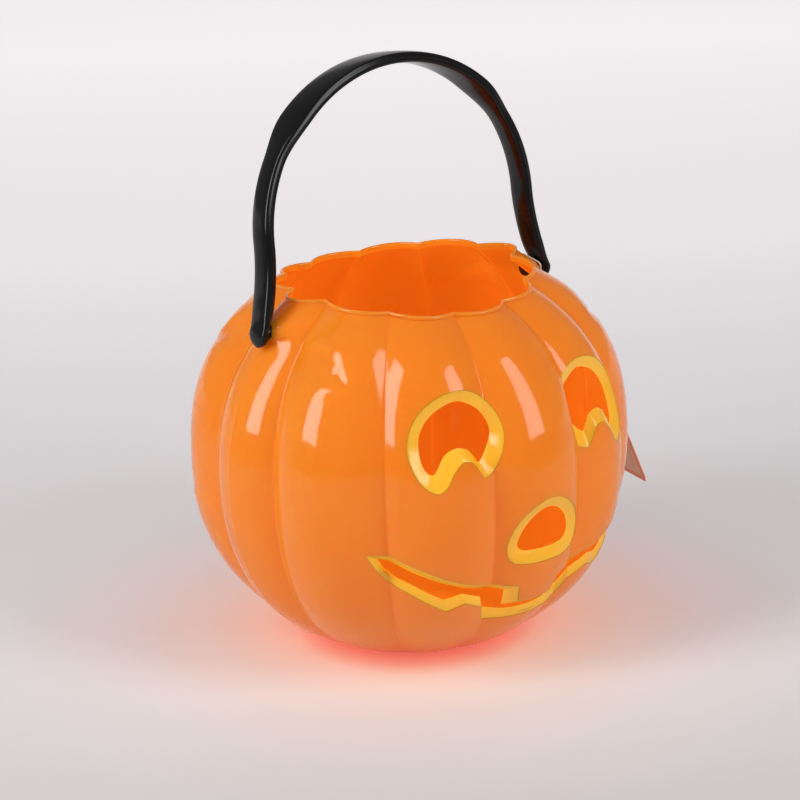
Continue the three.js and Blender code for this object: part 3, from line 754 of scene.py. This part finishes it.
def liner_object(name, opening, material):
    """A funnel ring whose front runs from the flush outer edge in to the rim of the hole."""
    rings = []
    for edge, hole in zip(opening.edge, opening.hole):
        width = (hole - edge).length
        depth = opening.depth
        fall = depth / width
        lip = min(LINER_LIP, width * 0.6)
        section = [
            (0.0, WALL), (0.0, EDGE_ROUNDING * 1.2), (0.05, EDGE_ROUNDING * 0.6), (0.18, 0.24),
            (EDGE_ROUNDING, EDGE_ROUNDING * fall + 0.1),
            (EDGE_ROUNDING * 2, EDGE_ROUNDING * 2 * fall + 0.03),
            (width * 0.3, depth * 0.3), (width * 0.5, depth * 0.5), (width * 0.7, depth * 0.7),
            (width - HOLE_ROUNDING * 2, (width - HOLE_ROUNDING * 2) * fall + 0.02),
            (width - HOLE_ROUNDING, (width - HOLE_ROUNDING) * fall + 0.06),
            (width - 0.1, depth - 0.12),
            (width, depth),
            (width - lip * 0.3, depth + 0.04), (width - lip, depth),
        ]
        ring = []
        for across, down in section:
            place = edge.lerp(hole, across / width)
            ring.append(on_face(place, down))
        rings.append(ring)
    size = len(rings[0])
    count = len(rings)
    points = [point for ring in rings for point in ring]
    faces = []
    for i in range(count):
        faces += ring_faces(i * size, (i + 1) % count * size, size)
    mitres = [(i * size + j, i * size + j + 1) for i in opening.corners for j in range(size - 1)]
    made = make_object(name, points, faces, material, sharp=mitres)
    face_outward(made)
    return made


# Handle

FOOT_INNER = outer_radius(SEAM_BEARING, PIVOT_HEIGHT - FOOT_RADIUS) + FOOT_CLEARANCE
FOOT_OUTER = FOOT_INNER + FOOT_THICKNESS
HEAD_BASE = inner_crest_radius(SEAM_BEARING, PIVOT_HEIGHT + HEAD_RADIUS) - HEAD_CLEARANCE


FOOT_STEPS = 10
FOOT_END_SHARE = 0.995
ARM_STEPS = 24
ARCH_STEPS = 48
# The strap's map leans by this much, so that its crown and its sides don't share a drawn line
MAP_LEAN = 1.7


def cubic(a, b, c, d, share):
    rest = 1 - share
    return a * rest ** 3 + b * 3 * rest ** 2 * share + c * 3 * rest * share ** 2 + d * share ** 3


def half_arch():
    """The strap's middle line from the tip of the foot to the top of the arch, in its own plane."""
    foot = Vector(((FOOT_INNER + FOOT_OUTER) / 2, 0))
    splay = radians(ARM_SPLAY)
    spring = Vector((ARCH_HALF_WIDTH, ARM_HEIGHT))
    leave = foot + Vector((-sin(splay), cos(splay))) * ARM_SPLAY_LENGTH
    arrive = spring - Vector((0, ARM_STRAIGHT_LENGTH))
    line = []
    for k in range(FOOT_STEPS):
        angle = pi / 2 * (1 - k / FOOT_STEPS)
        line.append(Vector((foot.x, -FOOT_RADIUS * sin(angle) * FOOT_END_SHARE)))
    line += [cubic(foot, leave, arrive, spring, k / ARM_STEPS) for k in range(ARM_STEPS + 1)]
    for k in range(1, ARCH_STEPS + 1):
        angle = pi / 2 * k / ARCH_STEPS
        line.append(Vector((ARCH_HALF_WIDTH * cos(angle), ARM_HEIGHT + ARCH_RISE * sin(angle))))
    return line


def strap_section(half, thick):
    """[across, outward]: crowned faces, rounded edges and a fine parting ridge along both sides."""
    edge = min(STRAP_EDGE, half * 0.5, thick * 0.6)
    ridge = 0.12 if half > STRAP_EDGE else 0.0
    quarter = []
    for k in range(5):
        angle = pi / 2 * k / 4
        outward = thick - STRAP_CROWN - edge + edge * cos(angle)
        quarter.append((half - edge + edge * sin(angle), outward))
    crown = [(half * share, thick - STRAP_CROWN * share ** 2) for share in (0.0, 0.3, 0.55)]
    side = [(half, 0.25), (half + ridge, 0.0), (half, -0.25)]
    right = crown + quarter + side
    right += [(across, -out) for across, out in reversed(quarter)]
    right += [(across, -out) for across, out in reversed(crown)]
    left = [(-across, out) for across, out in reversed(right[1:-1])]
    return right + left


def turned_piece(profile, side, steps):
    """Points and faces turned about the pins' axis from [radius, distance from the middle]."""
    points, faces = [], []
    for radius, distance in profile:
        for k in range(steps):
            angle = 2 * pi * k / steps
            points.append(Vector((side * distance, radius * sin(angle), radius * cos(angle))))
    for i in range(len(profile) - 1):
        faces += ring_faces(i * steps, (i + 1) * steps, steps)
    for start, centre in ((0, profile[0][1]), ((len(profile) - 1) * steps, profile[-1][1])):
        points.append(Vector((side * centre, 0, 0)))
        faces += [(start + k, start + (k + 1) % steps, len(points) - 1) for k in range(steps)]
    return points, faces


def handle_object(material):
    right = half_arch()
    line = right + [Vector((-p.x, p.y)) for p in reversed(right[:-1])]
    grip_start = ARM_HEIGHT + ARCH_RISE - GRIP_DEPTH
    twist = radians(GRIP_TWIST)
    rings = []
    places = []
    travelled = 0.0
    for i, point in enumerate(line):
        before, after = line[max(i - 1, 0)], line[min(i + 1, len(line) - 1)]
        travelled += (point - before).length if i else 0.0
        along = (after - before).normalized()
        if point.y <= 0:
            along = Vector((0, 1 if i < len(line) / 2 else -1))
        outward = Vector((along.y, -along.x))
        below = clamp(-point.y / FOOT_RADIUS)
        grip = smoothstep(point.y, grip_start, grip_start + GRIP_SPREAD)
        width = STRAP_WIDTH + (GRIP_WIDTH - STRAP_WIDTH) * grip
        half = width / 2 * sqrt(max(1 - below ** 2, 0.0))
        full = smoothstep(point.y, 0, ARM_SPLAY_LENGTH)
        thick = (FOOT_THICKNESS + (STRAP_THICKNESS - FOOT_THICKNESS) * full) / 2
        thick -= FOOT_THINNING * smoothstep(below, 0.75, 1.0)
        section = strap_section(max(half, 0.15), thick)
        skew, straight = sin(twist * grip), cos(twist * grip)
        rings.append([
            Vector((point.x + outward.x * out - across * skew, across * straight, point.y + outward.y * out))
            for across, out in section
        ])
        places += [(across + out * MAP_LEAN, travelled) for across, out in section]
    size = len(rings[0])
    points = [point for ring in rings for point in ring]
    faces = []
    for i in range(len(rings) - 1):
        faces += ring_faces(i * size, (i + 1) * size, size)
    for start in (0, (len(rings) - 1) * size):
        faces.append(tuple(start + k for k in range(size)))
    pin = [
        (HEAD_TIP_RADIUS - 0.5, HEAD_BASE - HEAD_LENGTH), (HEAD_TIP_RADIUS, HEAD_BASE - HEAD_LENGTH + 0.1),
        (HEAD_RADIUS, HEAD_BASE - HEAD_LENGTH * 0.45), (HEAD_RADIUS, HEAD_BASE - 0.15),
        (HEAD_RADIUS - 0.15, HEAD_BASE), (PIN_RADIUS, HEAD_BASE),
        (PIN_RADIUS, FOOT_INNER - COLLAR_LENGTH), (PIN_RADIUS + 1.2, FOOT_INNER - COLLAR_LENGTH),
        (PIN_RADIUS + 1.4, FOOT_INNER - COLLAR_LENGTH + 0.2), (PIN_RADIUS + 1.4, FOOT_INNER + 0.3),
    ]
    for side in (1, -1):
        more, their_faces = turned_piece(pin, side, PIN_STEPS)
        start = len(points)
        points += more
        faces += [tuple(start + i for i in face) for face in their_faces]
        places += [(point.x, point.z) for point in more]
    lean = Matrix.Rotation(-radians(HANDLE_LEAN), 3, "X")
    points = [lean @ point + Vector((0, 0, PIVOT_HEIGHT)) for point in points]
    made = make_object("bail_handle", points, faces, material)
    add_surface_map(made, places)
    face_outward(made)
    made.data.set_sharp_from_angle(angle=radians(CREASE_ANGLE))
    return made


# Tag

TAG_COLUMNS = 12
TAG_REACH_TURNS = range(-25, 26)
TAG_BISECTIONS = 30
TAG_DRAPED_STEPS = 36
TAG_FREE_STEPS = 24
TAG_HOLE_MARGIN = 8


def reach_to_tag(height):
    """How far the body reaches toward the tag's bearing at a height."""
    return max(
        outer_radius(TAG_BEARING + turn, height) * cos(radians(turn))
        for turn in TAG_REACH_TURNS
    )


def tag_line():
    """The tag's inner face from its top down: [reach, height, half width]."""
    slope_wanted = tan(radians(TAG_LEAN))
    low, high = BELLY_HEIGHT, SHOULDER_BOTTOM
    for _ in range(TAG_BISECTIONS):
        middle = (low + high) / 2
        slope = (reach_to_tag(middle - 0.1) - reach_to_tag(middle + 0.1)) / 0.2
        low, high = (middle, high) if slope < slope_wanted else (low, middle)
    leave = low
    line = []
    tongue, full = TONGUE_WIDTH / 2, TAG_WIDTH / 2
    for k in range(TAG_DRAPED_STEPS + 1):
        height = TONGUE_TOP + (leave - TONGUE_TOP) * k / TAG_DRAPED_STEPS
        spread = smoothstep(-height, -SHOULDER_TOP, -SHOULDER_BOTTOM)
        half = tongue + (full - tongue) * spread
        down = TONGUE_TOP - height
        if down < tongue:
            half = min(half, sqrt(max(tongue ** 2 - (tongue - down) ** 2, 0.8)))
        line.append((reach_to_tag(height) + TAG_GAP, height, half))
    lean = radians(TAG_LEAN)
    start = line[-1][0]
    for k in range(1, TAG_FREE_STEPS + 1):
        travelled = TAG_FREE_LENGTH * k / TAG_FREE_STEPS
        tip = max(0.0, travelled - (TAG_FREE_LENGTH - TAG_CORNER))
        half = full - TAG_CORNER + sqrt(max(TAG_CORNER ** 2 - tip ** 2, 0.0))
        line.append((start + sin(lean) * travelled, leave - cos(lean) * travelled, half))
    return line


def tag_object(material):
    line = tag_line()
    turn = radians(SEAM_BEARING - TAG_BEARING)
    middle = outer_radius(SEAM_BEARING, PIVOT_HEIGHT) * sin(turn)
    points, uvs = [], []
    travelled = 0.0
    for i, (reach, height, half) in enumerate(line):
        before, after = line[max(i - 1, 0)], line[min(i + 1, len(line) - 1)]
        along = Vector((after[0] - before[0], after[1] - before[1])).normalized()
        outward = Vector((-along.y, along.x)) * TAG_THICKNESS
        if i:
            travelled += hypot(reach - line[i - 1][0], height - line[i - 1][1])
        front = []
        back = []
        for k in range(TAG_COLUMNS + 1):
            across = half * (2 * k / TAG_COLUMNS - 1)
            back.append(Vector((reach, middle + across, height)))
            front.append(Vector((reach + outward.x, middle + across, height + outward.y)))
            uvs.append((across, travelled))
        uvs += list(reversed(uvs[-(TAG_COLUMNS + 1):]))
        points += back + list(reversed(front))
    size = 2 * (TAG_COLUMNS + 1)
    faces = []
    for i in range(len(line) - 1):
        faces += ring_faces(i * size, (i + 1) * size, size)
    for start in (0, (len(line) - 1) * size):
        for k in range(TAG_COLUMNS):
            faces.append((start + k, start + k + 1, start + size - 2 - k, start + size - 1 - k))
    spin = Matrix.Rotation(-turn, 3, "Z")
    made = make_object("paper_tag", [spin @ point for point in points], faces, material)
    add_surface_map(made, [(across, travelled - down) for across, down in uvs])
    face_outward(made)
    reach = outer_radius(SEAM_BEARING, PIVOT_HEIGHT)
    hole = [(PIN_RADIUS + PIN_CLEARANCE * 2, reach + where) for where in (-TAG_HOLE_MARGIN, TAG_HOLE_MARGIN)]
    cut(made, pin_tool(1, hole, material))
    made.data.set_sharp_from_angle(angle=radians(CREASE_ANGLE))
    return made


# Materials

def set_inputs(node, values):
    for name, value in values.items():
        node.inputs[name].default_value = value


class Nodes:
    """A new node material with its Principled shader."""

    def __init__(self, name):
        self.material = bpy.data.materials.new(name)
        self.material.use_nodes = True
        self.tree = self.material.node_tree
        self.shader = self.tree.nodes["Principled BSDF"]

    def add(self, kind, **settings):
        node = self.tree.nodes.new(kind)
        for key, value in settings.items():
            setattr(node, key, value)
        return node

    def link(self, output, socket):
        self.tree.links.new(output, socket)

    def noise(self, scale, detail=3.0, roughness=0.5, along_surface=None):
        mapping = self.add("ShaderNodeMapping")
        if along_surface:
            layer = self.add("ShaderNodeUVMap", uv_map=SURFACE_MAP)
            set_inputs(mapping, {"Scale": along_surface})
            self.link(layer.outputs["UV"], mapping.inputs["Vector"])
        else:
            coordinates = self.add("ShaderNodeTexCoord")
            self.link(coordinates.outputs["Object"], mapping.inputs["Vector"])
        texture = self.add("ShaderNodeTexNoise")
        set_inputs(texture, {"Scale": scale, "Detail": detail, "Roughness": roughness})
        self.link(mapping.outputs["Vector"], texture.inputs["Vector"])
        return texture.outputs["Fac"]

    def ramp(self, source, stops):
        node = self.add("ShaderNodeValToRGB")
        self.link(source, node.inputs["Fac"])
        elements = node.color_ramp.elements
        while len(elements) < len(stops):
            elements.new(0.5)
        for element, (position, color) in zip(elements, stops):
            element.position = position
            element.color = color
        return node.outputs["Color"]

    def between(self, source, low, high):
        """0 to 1 as the source goes from low to high."""
        node = self.add("ShaderNodeMapRange")
        set_inputs(node, {"From Min": low, "From Max": high})
        self.link(source, node.inputs["Value"])
        return node.outputs["Result"]

    def math(self, operation, *sources):
        node = self.add("ShaderNodeMath", operation=operation)
        for source, socket in zip(sources, node.inputs):
            self.link(source, socket)
        return node.outputs["Value"]

    def mixed(self, blend, share, first, second):
        """Two colours blended by a share, which is a number or comes from another node."""
        node = self.add("ShaderNodeMix", data_type="RGBA", blend_type=blend)
        if isinstance(share, float):
            set_inputs(node, {"Factor": share})
        else:
            self.link(share, node.inputs["Factor"])
        self.link(first, node.inputs["A"])
        self.link(second, node.inputs["B"])
        return node.outputs["Result"]

    def spread(self, source, low, high):
        node = self.add("ShaderNodeMapRange")
        set_inputs(node, {"To Min": low, "To Max": high})
        self.link(source, node.inputs["Value"])
        return node.outputs["Result"]

    def tones(self, source, dark, light):
        """A base colour that goes from dark to light with the source."""
        stops = [(0.3, srgb(*dark)), (0.7, srgb(*light))]
        self.link(self.ramp(source, stops), self.shader.inputs["Base Color"])

    def bump(self, source, strength, distance):
        node = self.add("ShaderNodeBump")
        set_inputs(node, {"Strength": strength, "Distance": distance})
        self.link(source, node.inputs["Height"])
        self.link(node.outputs["Normal"], self.shader.inputs["Normal"])


def orange_plastic():
    made = Nodes("orange_plastic")
    made.tones(made.noise(9.0, 2.0), (222, 134, 26), (225, 140, 32))
    set_inputs(made.shader, {
        "Subsurface Weight": 1.0,
        "Subsurface Radius": (1.0, 0.65, 0.35),
        "Subsurface Scale": 0.004,
        "IOR": 1.44,
    })
    made.link(made.spread(made.noise(30.0, 3.0), 0.07, 0.12), made.shader.inputs["Roughness"])
    made.bump(made.noise(16.0, 1.0), 0.12, 0.0008)
    return made.material


def yellow_plastic():
    made = Nodes("yellow_plastic")
    made.tones(made.noise(30.0, 2.0), (248, 180, 38), (251, 191, 50))
    set_inputs(made.shader, {
        "Subsurface Weight": 0.5,
        "Subsurface Radius": (1.0, 0.5, 0.12),
        "Subsurface Scale": 0.003,
        "IOR": 1.49,
    })
    made.link(made.spread(made.noise(60.0, 2.0), 0.12, 0.2), made.shader.inputs["Roughness"])
    made.bump(made.noise(90.0, 2.0), 0.08, 0.0003)
    return made.material


def black_plastic():
    """Moulded black with fine lines drawn along the strap."""
    made = Nodes("black_plastic")
    made.tones(made.noise(60.0, 4.0), (8, 8, 9), (13, 13, 14))
    set_inputs(made.shader, {"IOR": 1.36})
    lines = made.noise(1.0, 4.0, 0.6, along_surface=(220, 4, 1))
    made.link(made.spread(lines, 0.06, 0.18), made.shader.inputs["Roughness"])
    made.bump(lines, 0.25, 0.0001)
    return made.material


def pink_card():
    """Pale card with a darker printed border down both sides and along its foot."""
    made = Nodes("pink_card")
    layer = made.add("ShaderNodeUVMap", uv_map=SURFACE_MAP)
    parts = made.add("ShaderNodeSeparateXYZ")
    made.link(layer.outputs["UV"], parts.inputs["Vector"])
    fibre = made.noise(260.0, 5.0, 0.7)
    field = made.ramp(fibre, [(0.35, srgb(251, 226, 210)), (0.65, srgb(254, 233, 217))])
    border = made.ramp(fibre, [(0.35, srgb(250, 178, 150)), (0.65, srgb(253, 188, 160))])
    side = (TAG_WIDTH / 2 - TAG_BORDER) * SURFACE_MAP_SCALE
    foot = TAG_BORDER * SURFACE_MAP_SCALE
    across = made.math("ABSOLUTE", parts.outputs["X"])
    at_side = made.between(across, side - TAG_BORDER_EDGE, side + TAG_BORDER_EDGE)
    at_foot = made.between(parts.outputs["Y"], foot + TAG_BORDER_EDGE, foot - TAG_BORDER_EDGE)
    made.link(
        made.mixed("MIX", made.math("MAXIMUM", at_side, at_foot), field, border),
        made.shader.inputs["Base Color"],
    )
    set_inputs(made.shader, {"Roughness": 0.7})
    made.bump(fibre, 0.15, 0.0001)
    return made.material


# Paper of the floor by its distance behind the pail in metres: its tone, the paper's grey with painted shade
# that darkens it towards the pail, and the light of its own that keeps it pale where the lamps don't reach
PAPER = [
    (-0.2, 0.67, 0.0),
    (-0.05, 0.72, 0.07),
    (0.16, 0.76, 0.14),
    (0.35, 0.82, 0.20),
    (0.67, 0.94, 0.36),
    (1.4, 0.98, 0.54),
]
PAPER_TINT = (1.0, 0.965, 0.975)
# Warm light that the pail throws on the paper round it, by the distance from its axis in metres; the
# paper in front of it has less
GLOW_TINTS = [
    (0.045, (1.0, 0.30, 0.20)),
    (0.058, (1.0, 0.55, 0.45)),
    (0.075, (1.0, 0.66, 0.60)),
    (0.100, (1.0, 0.80, 0.77)),
    (0.140, (1.0, 0.90, 0.89)),
    (0.200, (1.0, 1.0, 1.0)),
]
GLOW_FADES = (-0.09, 0.0)
CONTACT_FADES = (0.07, 0.055)
GLOW_LIGHTS = [
    (0.045, (0.55, 0.06, 0.02)),
    (0.056, (0.42, 0.12, 0.06)),
    (0.070, (0.28, 0.12, 0.06)),
    (0.090, (0.18, 0.09, 0.05)),
    (0.115, (0.12, 0.06, 0.05)),
    (0.150, (0.06, 0.05, 0.05)),
    (0.240, (0.0, 0.0, 0.0)),
]
BACKDROP_TONE = srgb(240, 236, 237)


def by_distance(made, distance, stops):
    """A colour ramp over a distance in metres."""
    low, high = stops[0][0], stops[-1][0]
    shares = [((where - low) / (high - low), color) for where, color in stops]
    return made.ramp(made.between(distance, low, high), shares)


TURN = radians(CAMERA_AZIMUTH)
AWAY = (-sin(TURN), cos(TURN), 0)


def gray(share):
    return (*(share * part for part in PAPER_TINT), 1.0)


def pale_floor():
    """Paper with painted shade that makes it paler in the distance, and painted warm light round the pail.
    """
    made = Nodes("pale_floor")
    shader = made.shader
    coordinates = made.add("ShaderNodeTexCoord")
    behind = made.add("ShaderNodeVectorMath", operation="DOT_PRODUCT")
    behind.inputs[1].default_value = AWAY
    made.link(coordinates.outputs["Object"], behind.inputs[0])
    along = behind.outputs["Value"]
    reach = made.add("ShaderNodeVectorMath", operation="LENGTH")
    made.link(coordinates.outputs["Object"], reach.inputs[0])
    radius = reach.outputs["Value"]

    # The paper's grey, darkened towards the pail by painted shade
    paper_with_painted_shade = by_distance(made, along, [(where, gray(paper_with_painted_shade)) for where, paper_with_painted_shade, _ in PAPER])
    # Painted warm light: the paper's colour is multiplied by a warm glow round the pail, less in front of it
    painted_glow = by_distance(made, radius, [(where, (*painted_glow, 1)) for where, painted_glow in GLOW_TINTS])
    painted_glow_share = made.math("MAXIMUM", made.between(along, *GLOW_FADES), made.between(radius, *CONTACT_FADES))
    made.link(made.mixed("MULTIPLY", painted_glow_share, paper_with_painted_shade, painted_glow), shader.inputs["Base Color"])

    own_light = by_distance(made, along, [(where, gray(light)) for where, _, light in PAPER])
    glow = by_distance(made, radius, [(where, (*light, 1)) for where, light in GLOW_LIGHTS])
    made.link(made.mixed("ADD", 1.0, own_light, glow), shader.inputs["Emission Color"])
    ray = made.add("ShaderNodeLightPath").outputs
    mirrored_or_through = made.math("MAXIMUM", ray["Is Glossy Ray"], ray["Is Transmission Ray"])
    made.link(
        made.math("MAXIMUM", ray["Is Camera Ray"], mirrored_or_through),
        shader.inputs["Emission Strength"],
    )
    set_inputs(made.shader, {"Roughness": 0.6, "Specular IOR Level": 0.2})
    return made.material


# Build

ORANGE = orange_plastic()
YELLOW = yellow_plastic()
BLACK = black_plastic()
CARD = pink_card()


def dress(made, body, node):
    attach(made, body)
    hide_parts(node)


dress(shell_object(ORANGE), "root", "pail_shell")
dress(liner_object("left_eye_funnel", EYE_LEFT, YELLOW), "root", "eye_liner_left")
dress(liner_object("right_eye_funnel", EYE_RIGHT, YELLOW), "root", "eye_liner_right")
dress(liner_object("nose_funnel", NOSE, YELLOW), "root", "nose_liner")
dress(liner_object("mouth_funnel", MOUTH, YELLOW), "root", "mouth_liner")
dress(handle_object(BLACK), "handle", "handle")
dress(tag_object(CARD), "root", "hang_tag")

# Floor

FLOOR_RADIUS = 9000


def floor_disc(material):
    steps = 96
    ring = [at_bearing(360 * k / steps, FLOOR_RADIUS, 0.0) for k in range(steps)]
    make_object("studio_floor", ring, [tuple(range(steps))], material)


floor_disc(pale_floor())


# Lights

def softbox(name, azimuth, distance, height, size, watts):
    """An upright rectangular light of a width and a height that faces the pail's axis."""
    light = bpy.data.lights.new(name, "AREA")
    light.shape = "RECTANGLE"
    light.size, light.size_y = size[0] * MM, size[1] * MM
    light.energy = watts
    made = add_object(name, light)
    made.location = at_bearing(azimuth, distance, height) * MM
    made.rotation_mode = "QUATERNION"
    made.rotation_quaternion = (-at_bearing(azimuth, 1, 0)).to_track_quat("-Z", "Y")
    made.visible_camera = False
    return made


# Two upright strips to the left and right of the camera, mirrored as bright bars on the lobes
STRIP_SIZE = (320, 1000)
STRIP_DISTANCE = 760
STRIP_HEIGHT = 690
STRIP_WATTS = 6.6
RIGHT_SHARE = 0.75
LEFT_AZIMUTH = -97
RIGHT_AZIMUTH = 19

softbox("left_strip", LEFT_AZIMUTH, STRIP_DISTANCE, STRIP_HEIGHT, STRIP_SIZE, STRIP_WATTS)
softbox("right_strip", RIGHT_AZIMUTH, STRIP_DISTANCE, STRIP_HEIGHT, STRIP_SIZE, STRIP_WATTS * RIGHT_SHARE)

# A low, broad light from the front that evens out the body below its belly and isn't mirrored in it
FILL_AZIMUTH = -37
FILL_SIZE = (800, 300)
FILL_DISTANCE = 900
FILL_HEIGHT = 180
FILL_WATTS = 1.2

front_fill = softbox("front_fill", FILL_AZIMUTH, FILL_DISTANCE, FILL_HEIGHT, FILL_SIZE, FILL_WATTS)
front_fill.visible_glossy = False

# Weak warm light that stands for what the walls pass on into the pail
INSIDE_WATTS = 0.17
INSIDE_COLOR = (1, 0.88, 0.85)
INSIDE_HEIGHT = 75
INSIDE_RADIUS = 35


def inside_fill():
    light = bpy.data.lights.new("inside_fill", "POINT")
    light.energy = INSIDE_WATTS
    light.shadow_soft_size = INSIDE_RADIUS * MM
    light.color = INSIDE_COLOR
    made = add_object("inside_fill", light)
    made.location = (0, 0, INSIDE_HEIGHT * MM)
    made.visible_camera = False
    made.visible_glossy = False


inside_fill()

ROOM_LIGHT = 0.33
BACKDROP_LIGHT = 0.8
# Cosines of the angles from the backdrop's middle between which its light fades into the room's
BACKDROP_EDGE = (0.84, 0.9)


def studio_world():
    """Pale towards the backdrop and dim all round."""
    world = bpy.data.worlds.new("studio")
    bpy.context.scene.world = world
    world.use_nodes = True
    tree = world.node_tree
    background = tree.nodes["Background"]
    set_inputs(background, {"Color": BACKDROP_TONE})
    coordinates = tree.nodes.new("ShaderNodeTexCoord")
    toward = tree.nodes.new("ShaderNodeVectorMath")
    toward.operation = "DOT_PRODUCT"
    toward.inputs[1].default_value = AWAY
    tree.links.new(coordinates.outputs["Generated"], toward.inputs[0])
    share = tree.nodes.new("ShaderNodeMapRange")
    set_inputs(share, {"From Min": BACKDROP_EDGE[0], "From Max": BACKDROP_EDGE[1]})
    set_inputs(share, {"To Min": ROOM_LIGHT, "To Max": BACKDROP_LIGHT})
    tree.links.new(toward.outputs["Value"], share.inputs["Value"])
    tree.links.new(share.outputs["Result"], background.inputs["Strength"])


studio_world()


# Camera

def camera():
    turn, rise = radians(CAMERA_AZIMUTH), radians(CAMERA_ELEVATION)
    back = Vector((sin(turn) * cos(rise), -cos(turn) * cos(rise), sin(rise)))
    right = Vector((cos(turn), sin(turn), 0))
    up = back.cross(right)
    roll = radians(CAMERA_ROLL)
    tilted_right = right * cos(roll) + up * sin(roll)
    tilted_up = up * cos(roll) - right * sin(roll)
    aim = right * CAMERA_AIM_SIDEWAYS + Vector((0, 0, CAMERA_AIM_HEIGHT))
    data = bpy.data.cameras.new("camera")
    data.sensor_width = SENSOR_WIDTH
    data.lens = CAMERA_FOCAL_PIXELS * SENSOR_WIDTH / PHOTO_PIXELS
    data.clip_start, data.clip_end = CAMERA_CLIP
    made = add_object("camera", data)
    axes = Matrix((tilted_right, tilted_up, back)).transposed().to_4x4()
    made.matrix_world = Matrix.Translation((aim + back * CAMERA_DISTANCE) * MM) @ axes
    bpy.context.scene.camera = made


camera()
bpy.context.scene.view_settings.view_transform = "Standard"
